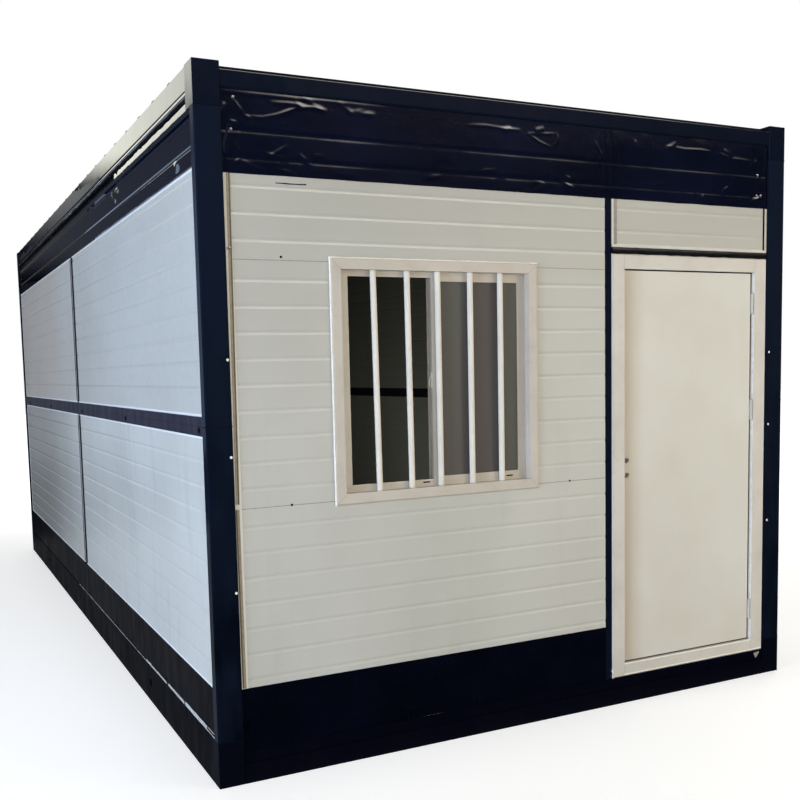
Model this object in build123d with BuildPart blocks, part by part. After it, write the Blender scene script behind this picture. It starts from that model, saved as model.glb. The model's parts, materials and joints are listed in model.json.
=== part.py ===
"""Guard booth: a steel-framed cabin with walls of ribbed sandwich panel, one door and one barred window.

Width runs along X, length along Y with the door wall at the low end, and Z is up from the ground.
All sizes are millimetres.
"""
import os

from build123d import *

os.makedirs("parts", exist_ok=True)

# Overall sizes; the height follows from the wall courses and the roof beam
booth_width = 3000
booth_length = 6000
course_height = 950
lower_joint_height = 1084
top_course_height = 551
end_beam_height = 165

# Corner posts, split at the height where the side walls fold, and the blocks at their ends
post_width = 105
post_depth = 55
post_corner_radius = 6
fold_height = 1405
fold_gap = 0.6
block_depth = 105
block_chamfer = 3
roof_block_height = 163
lifting_slot_length = 72
lifting_slot_width = 42
lifting_slot_depth = 40

# Base frame and floor
end_sill_height = 125
end_sill_step_height = 77
end_sill_step = 8
side_sill_height = 180
tie_hole_radius = 20
tie_hole_depth = 30
tie_hole_spacing = 3700
tie_hole_height = 95
joist_spacing = 1000
joist_width = 60
joist_height = 80
deck_thickness = 35
deck_edge_gap = 8

# Ribbed sandwich panels and the dark film stuck over them
panel_thickness = 50
panel_recess = 12
groove_pitch = 100
groove_width = 20
groove_depth = 2.2
groove_slope = 8
groove_margin = 75
side_groove_margin = 96
film_thickness = 1
skirt_height = 253
end_header_height = 234
side_header_height = 169
edge_channel_width = 28
edge_channel_wall = 1.2
joint_gap = 0.6

# Steel rails of the side walls
rail_recess = 5
bottom_rail_height = 198
mid_rail_height = 37.5
stile_width = 75
stile_recess = 16

# Roof beams, roof sheet and ceiling
end_beam_lip_height = 71
end_beam_lip_drop = 22
end_beam_lip_recess = 4
end_beam_web_recess = 18
end_beam_lip_radius = 8
end_beam_upstand = 25
side_beam_foot_recess = 10
side_beam_foot_height = 21
side_beam_flange_recess = 2
side_beam_flange_height = 21
side_beam_channel_recess = 18
side_beam_channel_height = 34
side_beam_bead_height = 43
side_beam_bead_recess = 1
side_beam_face_recess = 6
rib_pitch = 272
rib_height = 18
rib_crest_width = 40
rib_foot_width = 68
sheet_thickness = 1.5
sheet_edge_recess = 20
sheet_end_gap = 2
ceiling_rise = 5
ceiling_thickness = 50

# Window: one frame with a flange and three track ribs, two sashes and their panes
window_centre_from_left = 1019
window_clear_width = 894
window_wall = 27
window_flange_width = 47
window_flange_thickness = 11
window_flange_bevel = 8
window_depth = 75
track_rib_height = 12
front_rib_depth = 27
front_rib_thickness = 3
middle_rib_thickness = 2
sash_thickness = 20
sash_rail_width = 38
glass_thickness = 5

# Doorway: mullion, transom, frame, leaf and hinges
mullion_from_left = 1888
mullion_width = 40
mullion_recess = 15
transom_panel_height = 436
transom_rail_height = 41
door_frame_recess = 8
door_frame_depth = 62
door_frame_bevel = 6
door_frame_left_face = 70
door_frame_right_face = 80
door_frame_head_face = 68
door_frame_sill_face = 65
leaf_recess = 12
leaf_thickness = 35
leaf_gap = 6
leaf_hinge_gap = 15
leaf_edge_radius = 1.5
stop_gap = 5
stop_overlap = 8
hinge_foot_margin = 151
hinge_head_margin = 146
hinge_upper_spacing = 526
hinge_height = 99
hinge_radius = 6
hinge_pin_radius = 3
hinge_running_gap = 0.3
hinge_axis_setback = 3
hinge_plate_thickness = 1.2
hinge_plate_depth = 30
hinge_tongue_depth = 5
lock_height = 890
lock_spacing = 70
lock_setback = 15
lock_ring_radius = 12
lock_ring_thickness = 3
lock_hole_radius = 6


# Places that follow from the sizes above
half_width = booth_width / 2
half_length = booth_length / 2
post_inner_x = half_width - post_width
post_inner_y = half_length - post_depth
side_run = 2 * post_inner_y
block_inner_y = half_length - block_depth
panel_inner_depth = panel_recess + panel_thickness

upper_joint_height = lower_joint_height + course_height
end_beam_bottom = upper_joint_height + top_course_height
frame_height = end_beam_bottom + end_beam_height
roof_block_bottom = frame_height - roof_block_height
beam_flange_bottom = roof_block_bottom - side_beam_flange_height
side_panel_top = beam_flange_bottom - side_beam_foot_height
skirt_top = end_sill_height + skirt_height
end_header_bottom = end_beam_bottom - end_header_height
side_header_bottom = side_panel_top - side_header_height
bottom_rail_top = side_sill_height + bottom_rail_height
mid_rail_bottom = fold_height - mid_rail_height
mid_rail_top = fold_height + mid_rail_height

mullion_left = mullion_from_left - half_width
mullion_right = mullion_left + mullion_width
transom_rail_top = end_beam_bottom - transom_panel_height
door_frame_top = transom_rail_top - transom_rail_height

window_x = window_centre_from_left - half_width
window_z = lower_joint_height + course_height / 2
window_clear_height = course_height - 2 * window_wall
window_body_left = window_x - window_clear_width / 2 - window_wall
window_body_right = window_x + window_clear_width / 2 + window_wall
front_sash_depth = panel_recess + front_rib_depth + front_rib_thickness
rear_sash_depth = front_sash_depth + sash_thickness + middle_rib_thickness
sash_width = (window_clear_width + sash_rail_width) / 2
sash_offset = (window_clear_width - sash_width) / 2

doorway_left = mullion_right + door_frame_left_face
doorway_right = post_inner_x - door_frame_right_face
doorway_bottom = end_sill_height + door_frame_sill_face
doorway_top = door_frame_top - door_frame_head_face
leaf_left = doorway_left + leaf_gap
leaf_right = doorway_right - leaf_hinge_gap
leaf_bottom = doorway_bottom + leaf_gap
leaf_top = doorway_top - leaf_gap
leaf_front_depth = door_frame_recess + leaf_recess
leaf_back_depth = leaf_front_depth + leaf_thickness
hinge_x = (leaf_right + doorway_right) / 2
hinge_y = leaf_front_depth - hinge_axis_setback - half_length
hinge_top = leaf_top - hinge_head_margin
hinge_heights = (leaf_bottom + hinge_foot_margin, hinge_top - hinge_upper_spacing, hinge_top)
knuckle_height = (hinge_height - 2 * hinge_running_gap) / 3
lock_heights = (leaf_bottom + lock_height, leaf_bottom + lock_height + lock_spacing)


def keep(piece, name):
    """Label a finished piece and write it as one file."""
    piece.label = name
    export_step(piece, f"parts/{name}.step")


def front_plane(depth):
    """Upright plane facing the door side, set back from the front by the depth."""
    return Plane.XZ.offset(half_length - depth)


def front_run(start_x, depth):
    """Section plane of a piece that runs along X behind the front: local x is depth, local y is height."""
    return Plane(origin=(start_x, depth - half_length, 0), x_dir=(0, 1, 0), z_dir=(1, 0, 0))


def left_run(start_y, depth):
    """Section plane of a piece that runs towards the door behind the left face, depth along local x."""
    return Plane(origin=(depth - half_width, start_y, 0), x_dir=(1, 0, 0), z_dir=(0, -1, 0))


def groove_heights(bottom, top, highest):
    """Heights of the pressed grooves, from the highest one down, that lie whole between two edges."""
    heights = []
    height = highest
    while height - groove_width > bottom:
        if height + groove_width < top:
            heights.append(height)
        height -= groove_pitch
    return heights[::-1]


def grooved_face(bottom, top, highest):
    """Points up a pressed steel face, as depth and height, with each groove a shallow trapezium."""
    half = groove_width / 2
    points = [(0, bottom)]
    for height in groove_heights(bottom, top, highest):
        points += [
            (0, height - half),
            (groove_depth, height - half + groove_slope),
            (groove_depth, height + half - groove_slope),
            (0, height + half),
        ]
    return points + [(0, top)]


def panel_outline(bottom, top, highest):
    """Section of a sandwich panel with grooves in both of its faces."""
    outer = grooved_face(bottom, top, highest)
    inner = [(panel_thickness - depth, height) for depth, height in reversed(outer)]
    return outer + inner


def film_outline(bottom, top, highest):
    """Section of a film that follows the grooves of the panel behind it."""
    back = grooved_face(bottom, top, highest)
    face = [(depth - film_thickness, height) for depth, height in reversed(back)]
    return back + face


def long_piece(plane, outline, length):
    """Extrude a section, given as points, along its plane's normal."""
    with BuildPart() as piece:
        with BuildSketch(plane):
            with BuildLine():
                Polyline(*outline, close=True)
            make_face()
        extrude(amount=length)
    return piece.part


def both_sides(piece, plane):
    """The piece together with its mirror image across a plane."""
    with BuildPart() as pair:
        add(piece)
        mirror(piece, about=plane)
    return pair.part


def mirrored(piece, plane):
    """The mirror image of a piece across a plane."""
    with BuildPart() as image:
        mirror(piece, about=plane)
    return image.part


# Base frame
corner_centres = [
    (side * (half_width - post_width / 2), end * (half_length - block_depth / 2))
    for side in (-1, 1)
    for end in (-1, 1)
]

with BuildPart() as base_corner_blocks:
    with BuildSketch():
        with Locations(*corner_centres):
            Rectangle(post_width, block_depth)
    extrude(amount=side_sill_height)
    chamfer(base_corner_blocks.edges().filter_by(Axis.Z), block_chamfer)
keep(base_corner_blocks.part, "base_corner_blocks")

end_sill_outline = [
    (0, 0),
    (0, end_sill_step_height),
    (end_sill_step, end_sill_step_height),
    (end_sill_step, end_sill_height),
    (block_depth, end_sill_height),
    (block_depth, 0),
]
front_sill = long_piece(front_run(-post_inner_x, 0), end_sill_outline, 2 * post_inner_x)
keep(both_sides(front_sill, Plane.XZ), "base_end_beams")

with BuildPart() as left_sill:
    with BuildSketch(left_run(block_inner_y, 0)):
        Rectangle(post_width, side_sill_height, align=(Align.MIN, Align.MIN))
    extrude(amount=2 * block_inner_y)
    with BuildSketch(Plane.YZ.offset(-half_width)):
        with Locations((-tie_hole_spacing / 2, tie_hole_height), (tie_hole_spacing / 2, tie_hole_height)):
            Circle(tie_hole_radius)
    extrude(amount=tie_hole_depth, mode=Mode.SUBTRACT)
keep(both_sides(left_sill.part, Plane.YZ), "base_side_beams")

joist_count = int(2 * block_inner_y // joist_spacing)
with BuildPart() as floor_joists:
    with BuildSketch(Plane.XY.offset(end_sill_height - joist_height)):
        with GridLocations(joist_spacing, joist_spacing, 1, joist_count):
            Rectangle(2 * post_inner_x, joist_width)
    extrude(amount=joist_height)
keep(floor_joists.part, "floor_joists")

with BuildPart() as floor_deck:
    with BuildSketch(Plane.XY.offset(end_sill_height)):
        Rectangle(2 * post_inner_x, 2 * (half_length - panel_inner_depth - deck_edge_gap))
    extrude(amount=deck_thickness)
keep(floor_deck.part, "floor_deck")


# Corner posts
def corner_post(side, end):
    """Two lengths of post, one above the other, that part at the fold height."""
    lower_top = fold_height - fold_gap / 2
    upper_bottom = fold_height + fold_gap / 2
    place = (side * (half_width - post_width / 2), end * (half_length - post_depth / 2))
    with BuildPart() as post:
        for bottom, top in ((side_sill_height, lower_top), (upper_bottom, roof_block_bottom)):
            with BuildSketch(Plane.XY.offset(bottom)):
                with Locations(place):
                    RectangleRounded(post_width, post_depth, post_corner_radius)
            extrude(amount=top - bottom)
    return post.part


for end_name, end in (("front", -1), ("back", 1)):
    for side_name, side in (("left", -1), ("right", 1)):
        keep(corner_post(side, end), f"{end_name}_{side_name}_post")

# Roof frame
with BuildPart() as roof_corner_blocks:
    with BuildSketch(Plane.XY.offset(roof_block_bottom)):
        with Locations(*corner_centres):
            Rectangle(post_width, block_depth)
    extrude(amount=roof_block_height)
    chamfer(roof_corner_blocks.edges().filter_by(Axis.Z), block_chamfer)
    with BuildSketch(Plane.XY.offset(frame_height)):
        with Locations(*corner_centres):
            SlotOverall(lifting_slot_length, lifting_slot_width, rotation=90)
    extrude(amount=-lifting_slot_depth, mode=Mode.SUBTRACT)
keep(roof_corner_blocks.part, "roof_corner_blocks")

end_beam_lip_top = frame_height - end_beam_lip_drop
end_beam_lip_bottom = end_beam_lip_top - end_beam_lip_height
with BuildPart() as front_roof_beam:
    with BuildSketch(front_run(-post_inner_x, 0)) as beam_section:
        with BuildLine():
            Polyline(
                (end_beam_web_recess, end_beam_bottom),
                (end_beam_web_recess, end_beam_lip_bottom),
                (end_beam_lip_recess, end_beam_lip_bottom),
                (end_beam_lip_recess, end_beam_lip_top),
                (block_depth - end_beam_upstand, end_beam_lip_top),
                (block_depth - end_beam_upstand, frame_height),
                (block_depth, frame_height),
                (block_depth, end_beam_bottom),
                close=True,
            )
        make_face()
        lip_corners = beam_section.vertices().group_by(Axis.X)[0]
        fillet(lip_corners, end_beam_lip_radius)
    extrude(amount=2 * post_inner_x)
keep(both_sides(front_roof_beam.part, Plane.XZ), "roof_end_beams")

channel_top = roof_block_bottom + side_beam_channel_height
bead_top = channel_top + side_beam_bead_height
with BuildPart() as left_roof_beam:
    with BuildSketch(left_run(block_inner_y, 0)):
        with BuildLine():
            Polyline(
                (side_beam_face_recess, bead_top),
                (side_beam_face_recess, frame_height),
                (post_width, frame_height),
                (post_width, roof_block_bottom),
                (side_beam_channel_recess, roof_block_bottom),
                (side_beam_channel_recess, channel_top),
                (side_beam_face_recess, channel_top),
            )
            ThreePointArc(
                (side_beam_face_recess, channel_top),
                (side_beam_bead_recess, (channel_top + bead_top) / 2),
                (side_beam_face_recess, bead_top),
            )
        make_face()
    extrude(amount=2 * block_inner_y)
    with BuildSketch(left_run(post_inner_y, 0)):
        with BuildLine():
            Polyline(
                (side_beam_foot_recess, side_panel_top),
                (side_beam_foot_recess, beam_flange_bottom),
                (side_beam_flange_recess, beam_flange_bottom),
                (side_beam_flange_recess, roof_block_bottom),
                (post_width, roof_block_bottom),
                (post_width, side_panel_top),
                close=True,
            )
        make_face()
    extrude(amount=side_run)
keep(both_sides(left_roof_beam.part, Plane.YZ), "roof_side_beams")

sheet_end = block_inner_y - sheet_end_gap
rib_count = int((2 * sheet_end - rib_foot_width) // rib_pitch) + 1
sheet_line = [(-sheet_end, 0)]
for rib in range(rib_count):
    rib_y = (rib - (rib_count - 1) / 2) * rib_pitch
    sheet_line += [
        (rib_y - rib_foot_width / 2, 0),
        (rib_y - rib_crest_width / 2, rib_height),
        (rib_y + rib_crest_width / 2, rib_height),
        (rib_y + rib_foot_width / 2, 0),
    ]
sheet_line.append((sheet_end, 0))
sheet_top = [(run, rise + sheet_thickness) for run, rise in reversed(sheet_line)]
with BuildPart() as roof_sheet:
    with BuildSketch(Plane.YZ.offset(sheet_edge_recess - half_width)):
        with Locations((0, frame_height)):
            Polygon(*sheet_line, *sheet_top, align=None)
    extrude(amount=booth_width - 2 * sheet_edge_recess)
keep(roof_sheet.part, "roof_sheet")

with BuildPart() as ceiling_panel:
    with BuildSketch(Plane.XY.offset(end_beam_bottom + ceiling_rise)):
        Rectangle(2 * post_inner_x, 2 * block_inner_y)
    extrude(amount=ceiling_thickness)
keep(ceiling_panel.part, "ceiling_panel")

# Side walls: steel rails with two panels between each pair, parted by a middle stile
half_panel_run = (side_run - stile_width) / 2
side_highest_groove = side_panel_top - side_groove_margin
lower_highest_groove = mid_rail_bottom - side_groove_margin


def left_rail(bottom, top):
    """Square steel rail along the left wall, from post to post."""
    depth = panel_inner_depth - rail_recess
    outline = [(0, bottom), (0, top), (depth, top), (depth, bottom)]
    return long_piece(left_run(post_inner_y, rail_recess), outline, side_run)


def left_halves(outline):
    """The same section on both sides of the left wall's middle stile."""
    rear = long_piece(left_run(post_inner_y, panel_recess), outline, half_panel_run)
    return both_sides(rear, Plane.XZ)


with BuildPart() as left_mid_rails:
    add(left_rail(mid_rail_bottom, fold_height - fold_gap / 2))
    add(left_rail(fold_height + fold_gap / 2, mid_rail_top))

left_wall = {
    "bottom_rail": left_rail(side_sill_height, bottom_rail_top),
    "mid_rails": left_mid_rails.part,
    "lower_panels": left_halves(panel_outline(bottom_rail_top, mid_rail_bottom, lower_highest_groove)),
    "upper_panels": left_halves(panel_outline(mid_rail_top, side_panel_top, side_highest_groove)),
    "header_film": left_halves(film_outline(side_header_bottom, side_panel_top, side_highest_groove)),
}
for name, piece in left_wall.items():
    keep(piece, f"left_{name}")
    keep(mirrored(piece, Plane.YZ), f"right_{name}")

with BuildPart() as left_stiles:
    stile_depth = panel_inner_depth - stile_recess
    for bottom, top in ((bottom_rail_top, mid_rail_bottom), (mid_rail_top, side_panel_top)):
        with BuildSketch(Plane.XY.offset(bottom)):
            with Locations((stile_recess - half_width, 0)):
                Rectangle(stile_depth, stile_width, align=(Align.MIN, Align.CENTER))
        extrude(amount=top - bottom)
keep(both_sides(left_stiles.part, Plane.YZ), "side_middle_stiles")

# Front wall panels: three courses left of the mullion and a short one over the door
panel_left = edge_channel_wall - post_inner_x
lower_groove = lower_joint_height - groove_margin
middle_groove = upper_joint_height - groove_margin
upper_groove = upper_joint_height + course_height - groove_margin


def front_panel(left, right, bottom, top, highest):
    """Ribbed panel of the front wall between two upright edges."""
    return long_piece(front_run(left, panel_recess), panel_outline(bottom, top, highest), right - left)


front_panels = {
    "front_bottom_panel": (panel_left, mullion_left, end_sill_height, lower_joint_height, lower_groove),
    "front_middle_left_panel": (
        panel_left, window_body_left, lower_joint_height, upper_joint_height, middle_groove),
    "front_middle_right_panel": (
        window_body_right, mullion_left, lower_joint_height, upper_joint_height, middle_groove),
    "front_top_panel": (panel_left, mullion_left, upper_joint_height, end_beam_bottom, upper_groove),
    "transom_panel": (
        mullion_right + edge_channel_wall,
        post_inner_x - edge_channel_wall,
        transom_rail_top,
        end_beam_bottom,
        upper_groove,
    ),
}
for name, edges in front_panels.items():
    keep(front_panel(*edges), name)

with BuildPart() as front_film_bands:
    header = film_outline(end_header_bottom, end_beam_bottom, upper_groove)
    skirt = film_outline(end_sill_height, skirt_top, lower_groove)
    add(long_piece(front_run(panel_left, panel_recess), header, post_inner_x - panel_left))
    add(long_piece(front_run(panel_left, panel_recess), skirt, mullion_left - panel_left))
keep(front_film_bands.part, "front_film_bands")


def edge_channel(edge, side, bottom, top):
    """Folded channel over a panel's upright edge; side is the way from the edge into the panel."""
    inward = Align.MIN if side > 0 else Align.MAX
    with BuildSketch(Plane.XY.offset(bottom)) as section:
        with Locations((edge, panel_recess - edge_channel_wall - half_length)):
            Rectangle(edge_channel_width, panel_thickness + 2 * edge_channel_wall, align=(inward, Align.MIN))
        with Locations((edge + side * edge_channel_wall, panel_recess - half_length)):
            Rectangle(edge_channel_width, panel_thickness, align=(inward, Align.MIN), mode=Mode.SUBTRACT)
    extrude(section.sketch, amount=top - bottom)


with BuildPart() as front_edge_channels:
    edge_channel(-post_inner_x, 1, skirt_top, lower_joint_height)
    edge_channel(-post_inner_x, 1, lower_joint_height + joint_gap, end_header_bottom)
    edge_channel(mullion_right, 1, transom_rail_top, end_header_bottom)
    edge_channel(post_inner_x, -1, transom_rail_top, end_header_bottom)
keep(front_edge_channels.part, "front_edge_channels")

# Back wall: the same three courses, unbroken
with BuildPart() as back_panels:
    courses = (
        (end_sill_height, lower_joint_height - joint_gap, lower_groove),
        (lower_joint_height, upper_joint_height - joint_gap, middle_groove),
        (upper_joint_height, end_beam_bottom, upper_groove),
    )
    for bottom, top, highest in courses:
        mirror(front_panel(-post_inner_x, post_inner_x, bottom, top, highest), about=Plane.XZ)
keep(back_panels.part, "back_panels")

with BuildPart() as back_film_bands:
    for outline in (header, skirt):
        band = long_piece(front_run(-post_inner_x, panel_recess), outline, 2 * post_inner_x)
        mirror(band, about=Plane.XZ)
keep(back_film_bands.part, "back_film_bands")

# Mullion and transom rail beside and over the door
with BuildPart() as door_mullion:
    with BuildSketch(front_plane(mullion_recess)):
        with Locations((mullion_left, end_sill_height)):
            Rectangle(mullion_width, end_beam_bottom - end_sill_height, align=(Align.MIN, Align.MIN))
    extrude(amount=mullion_recess - panel_inner_depth)
keep(door_mullion.part, "door_mullion")

with BuildPart() as transom_rail:
    with BuildSketch(front_plane(mullion_recess)):
        with Locations((mullion_right, door_frame_top)):
            Rectangle(post_inner_x - mullion_right, transom_rail_height, align=(Align.MIN, Align.MIN))
    extrude(amount=mullion_recess - panel_inner_depth)
keep(transom_rail.part, "transom_rail")


# Window: each level of the frame is a ring of the opening's outline
def window_ring(depth, thickness, outer_margin, inner_margin):
    """Add a ring round the window opening; margins are measured outward from the clear opening."""
    with BuildSketch(front_plane(depth)) as ring:
        with Locations((window_x, window_z)):
            Rectangle(window_clear_width + 2 * outer_margin, window_clear_height + 2 * outer_margin)
            Rectangle(
                window_clear_width + 2 * inner_margin,
                window_clear_height + 2 * inner_margin,
                mode=Mode.SUBTRACT,
            )
    extrude(ring.sketch, amount=-thickness)


with BuildPart() as window_frame:
    window_ring(panel_recess - window_flange_thickness, window_flange_thickness, window_flange_width, 0)
    flange_rim = window_frame.faces().sort_by(Axis.Y)[0].outer_wire().edges()
    chamfer(flange_rim, window_flange_bevel)
    window_ring(panel_recess, window_depth, window_wall, 0)
    window_ring(panel_recess + front_rib_depth, front_rib_thickness, window_wall, -track_rib_height)
    window_ring(front_sash_depth + sash_thickness, middle_rib_thickness, window_wall, -track_rib_height)
    rear_rib_depth = rear_sash_depth + sash_thickness
    window_ring(
        rear_rib_depth, panel_recess + window_depth - rear_rib_depth, window_wall, -track_rib_height)
keep(window_frame.part, "window_frame")


def sash(centre_x, depth):
    """Frame of one sliding pane."""
    with BuildPart() as frame:
        with BuildSketch(front_plane(depth)):
            with Locations((centre_x, window_z)):
                Rectangle(sash_width, window_clear_height)
                offset(amount=-sash_rail_width, mode=Mode.SUBTRACT)
        extrude(amount=-sash_thickness)
    return frame.part


# The window stands open: the left sash is slid across its track, in front of the right one
sash_places = {
    "left_sash": (window_x + sash_offset, front_sash_depth),
    "right_sash": (window_x + sash_offset, rear_sash_depth),
}
for name, place in sash_places.items():
    keep(sash(*place), name)

with BuildPart() as window_glass:
    for centre_x, depth in sash_places.values():
        with BuildSketch(front_plane(depth + (sash_thickness - glass_thickness) / 2)):
            with Locations((centre_x, window_z)):
                Rectangle(sash_width - 2 * sash_rail_width, window_clear_height - 2 * sash_rail_width)
        extrude(amount=-glass_thickness)
keep(window_glass.part, "window_glass")


# Door frame with a stop all round behind the leaf
def upright_rectangle(left, right, bottom, top, mode=Mode.ADD):
    """Rectangle on an upright sketch, given by its edges."""
    with Locations(((left + right) / 2, (bottom + top) / 2)):
        Rectangle(right - left, top - bottom, mode=mode)


with BuildPart() as door_frame:
    with BuildSketch(front_plane(door_frame_recess)):
        upright_rectangle(mullion_right, post_inner_x, end_sill_height, door_frame_top)
        upright_rectangle(doorway_left, doorway_right, doorway_bottom, doorway_top, Mode.SUBTRACT)
    extrude(amount=-door_frame_depth)
    frame_rim = door_frame.faces().sort_by(Axis.Y)[0].outer_wire().edges()
    chamfer(frame_rim, door_frame_bevel)
    with BuildSketch(front_plane(leaf_back_depth + stop_gap)):
        upright_rectangle(doorway_left, doorway_right, doorway_bottom, doorway_top)
        upright_rectangle(
            leaf_left + stop_overlap,
            leaf_right - stop_overlap,
            leaf_bottom + stop_overlap,
            leaf_top - stop_overlap,
            Mode.SUBTRACT,
        )
    extrude(amount=leaf_back_depth + stop_gap - door_frame_recess - door_frame_depth)
keep(door_frame.part, "door_frame")

with BuildPart() as door_leaf:
    with BuildSketch(front_plane(leaf_front_depth)):
        upright_rectangle(leaf_left, leaf_right, leaf_bottom, leaf_top)
    extrude(amount=-leaf_thickness)
    fillet(door_leaf.faces().sort_by(Axis.Y)[0].edges(), leaf_edge_radius)
    with BuildSketch(front_plane(leaf_front_depth)):
        for height in lock_heights:
            with Locations((leaf_left + lock_setback, height)):
                Circle(lock_hole_radius)
    extrude(amount=-leaf_thickness, mode=Mode.SUBTRACT)
keep(door_leaf.part, "door_leaf")

with BuildPart() as lock_rings:
    with BuildSketch(front_plane(leaf_front_depth)):
        for height in lock_heights:
            with Locations((leaf_left + lock_setback, height)):
                Circle(lock_ring_radius)
                Circle(lock_hole_radius, mode=Mode.SUBTRACT)
    extrude(amount=lock_ring_thickness)
keep(lock_rings.part, "lock_rings")

# Hinges: the frame holds the outer two knuckles and the pin, the leaf holds the middle knuckle
reveal = doorway_right - hinge_x


def hinge_plan(side, height, bottom, parts):
    """Extrude a hinge section upward; side is 1 towards the frame and -1 towards the leaf."""
    with BuildSketch(Plane.XY.offset(bottom)) as plan:
        with Locations((hinge_x, hinge_y)):
            if "plate" in parts:
                with Locations((side * (reveal - hinge_plate_thickness / 2), hinge_plate_depth / 2)):
                    Rectangle(hinge_plate_thickness, hinge_plate_depth)
            if "knuckle" in parts:
                Circle(hinge_radius)
                with Locations((side * reveal / 2, hinge_tongue_depth / 2)):
                    Rectangle(reveal, hinge_tongue_depth)
            if "pin" in parts:
                Circle(hinge_pin_radius)
            if "bore" in parts:
                Circle(hinge_pin_radius + hinge_running_gap, mode=Mode.SUBTRACT)
    extrude(plan.sketch, amount=height)


with BuildPart() as frame_hinge_knuckles:
    for centre in hinge_heights:
        foot = centre - hinge_height / 2
        hinge_plan(1, hinge_height, foot, ("plate", "pin"))
        hinge_plan(1, knuckle_height, foot, ("knuckle",))
        hinge_plan(1, knuckle_height, centre + hinge_height / 2 - knuckle_height, ("knuckle",))
keep(frame_hinge_knuckles.part, "frame_hinge_knuckles")

with BuildPart() as leaf_hinge_knuckles:
    for centre in hinge_heights:
        hinge_plan(-1, knuckle_height, centre - knuckle_height / 2, ("plate", "knuckle", "bore"))
keep(leaf_hinge_knuckles.part, "leaf_hinge_knuckles")
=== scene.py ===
"""Looks of the guard booth: finishes for every solid, and the small pieces that the solids leave out.

Lengths are metres in the booth's own frame: X across the door wall, Y back along the sides, Z up.
Sizes that are easier to read in millimetres go through mm().
"""
import json
import math
import random

import bmesh
import bpy
from mathutils import Matrix, Vector, noise


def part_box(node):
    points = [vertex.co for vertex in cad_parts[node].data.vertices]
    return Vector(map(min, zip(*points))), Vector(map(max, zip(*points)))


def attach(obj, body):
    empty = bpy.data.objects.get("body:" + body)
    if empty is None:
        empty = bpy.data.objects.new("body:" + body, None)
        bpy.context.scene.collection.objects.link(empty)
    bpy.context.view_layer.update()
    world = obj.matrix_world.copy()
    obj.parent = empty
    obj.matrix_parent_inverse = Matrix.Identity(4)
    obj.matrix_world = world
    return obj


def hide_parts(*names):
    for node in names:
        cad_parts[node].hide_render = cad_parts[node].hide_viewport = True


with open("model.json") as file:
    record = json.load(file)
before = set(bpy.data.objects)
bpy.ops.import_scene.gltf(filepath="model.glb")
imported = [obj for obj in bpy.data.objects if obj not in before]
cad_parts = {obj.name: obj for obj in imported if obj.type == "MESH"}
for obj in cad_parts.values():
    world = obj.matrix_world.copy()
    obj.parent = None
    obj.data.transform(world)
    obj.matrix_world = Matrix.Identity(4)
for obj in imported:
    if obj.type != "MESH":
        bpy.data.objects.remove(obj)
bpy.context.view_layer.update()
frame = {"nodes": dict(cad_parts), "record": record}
scene = bpy.context.scene


def mm(length):
    """A length in millimetres, as metres."""
    return length / 1000


def linear(colour):
    """An sRGB hex colour as linear red, green, blue and a full alpha."""
    shares = [int(colour[place:place + 2], 16) / 255 for place in (1, 3, 5)]
    return [c / 12.92 if c <= 0.04045 else ((c + 0.055) / 1.055) ** 2.4 for c in shares] + [1.0]


def per_metre(size_mm):
    """Texture scale at which one feature is about that many millimetres long."""
    return 1000 / size_mm


# Materials

# Places of the mix node's sockets, because several of them share a name
mix_share, mix_first, mix_second, mix_colour = 0, 6, 7, 2


def start_material(name):
    """A new node material, with its shader node and the place of each surface point in metres."""
    material = bpy.data.materials.new(name)
    material.use_nodes = True
    shader = material.node_tree.nodes["Principled BSDF"]
    place = add(material, "TexCoord")["Object"]
    return material, shader, place


def add(owner, kind, sockets=None, **settings):
    """Add a shader node with its settings and give its outputs; a socket takes a constant or an output."""
    node = owner.node_tree.nodes.new("ShaderNode" + kind)
    for name, value in settings.items():
        setattr(node, name, value)
    fill(owner, node, sockets or {})
    return node.outputs


def fill(owner, node, sockets):
    """Set or link the sockets of a node."""
    for name, value in sockets.items():
        if isinstance(value, bpy.types.NodeSocket):
            owner.node_tree.links.new(value, node.inputs[name])
        else:
            node.inputs[name].default_value = value


def clouded(material, place, size_mm, colour, shade, low=0.35, detail=3):
    """Cloudy noise with features of that size, and the colour as it drifts into the shade with it."""
    cloud = add(material, "TexNoise",
                {"Vector": place, "Scale": per_metre(size_mm), "Detail": detail})["Fac"]
    share = add(material, "MapRange", {"Value": cloud, "From Min": low, "From Max": 0.7})["Result"]
    tone = add(material, "Mix", {mix_share: share, mix_first: linear(colour), mix_second: linear(shade)},
               data_type="RGBA")[mix_colour]
    return cloud, tone


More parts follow.
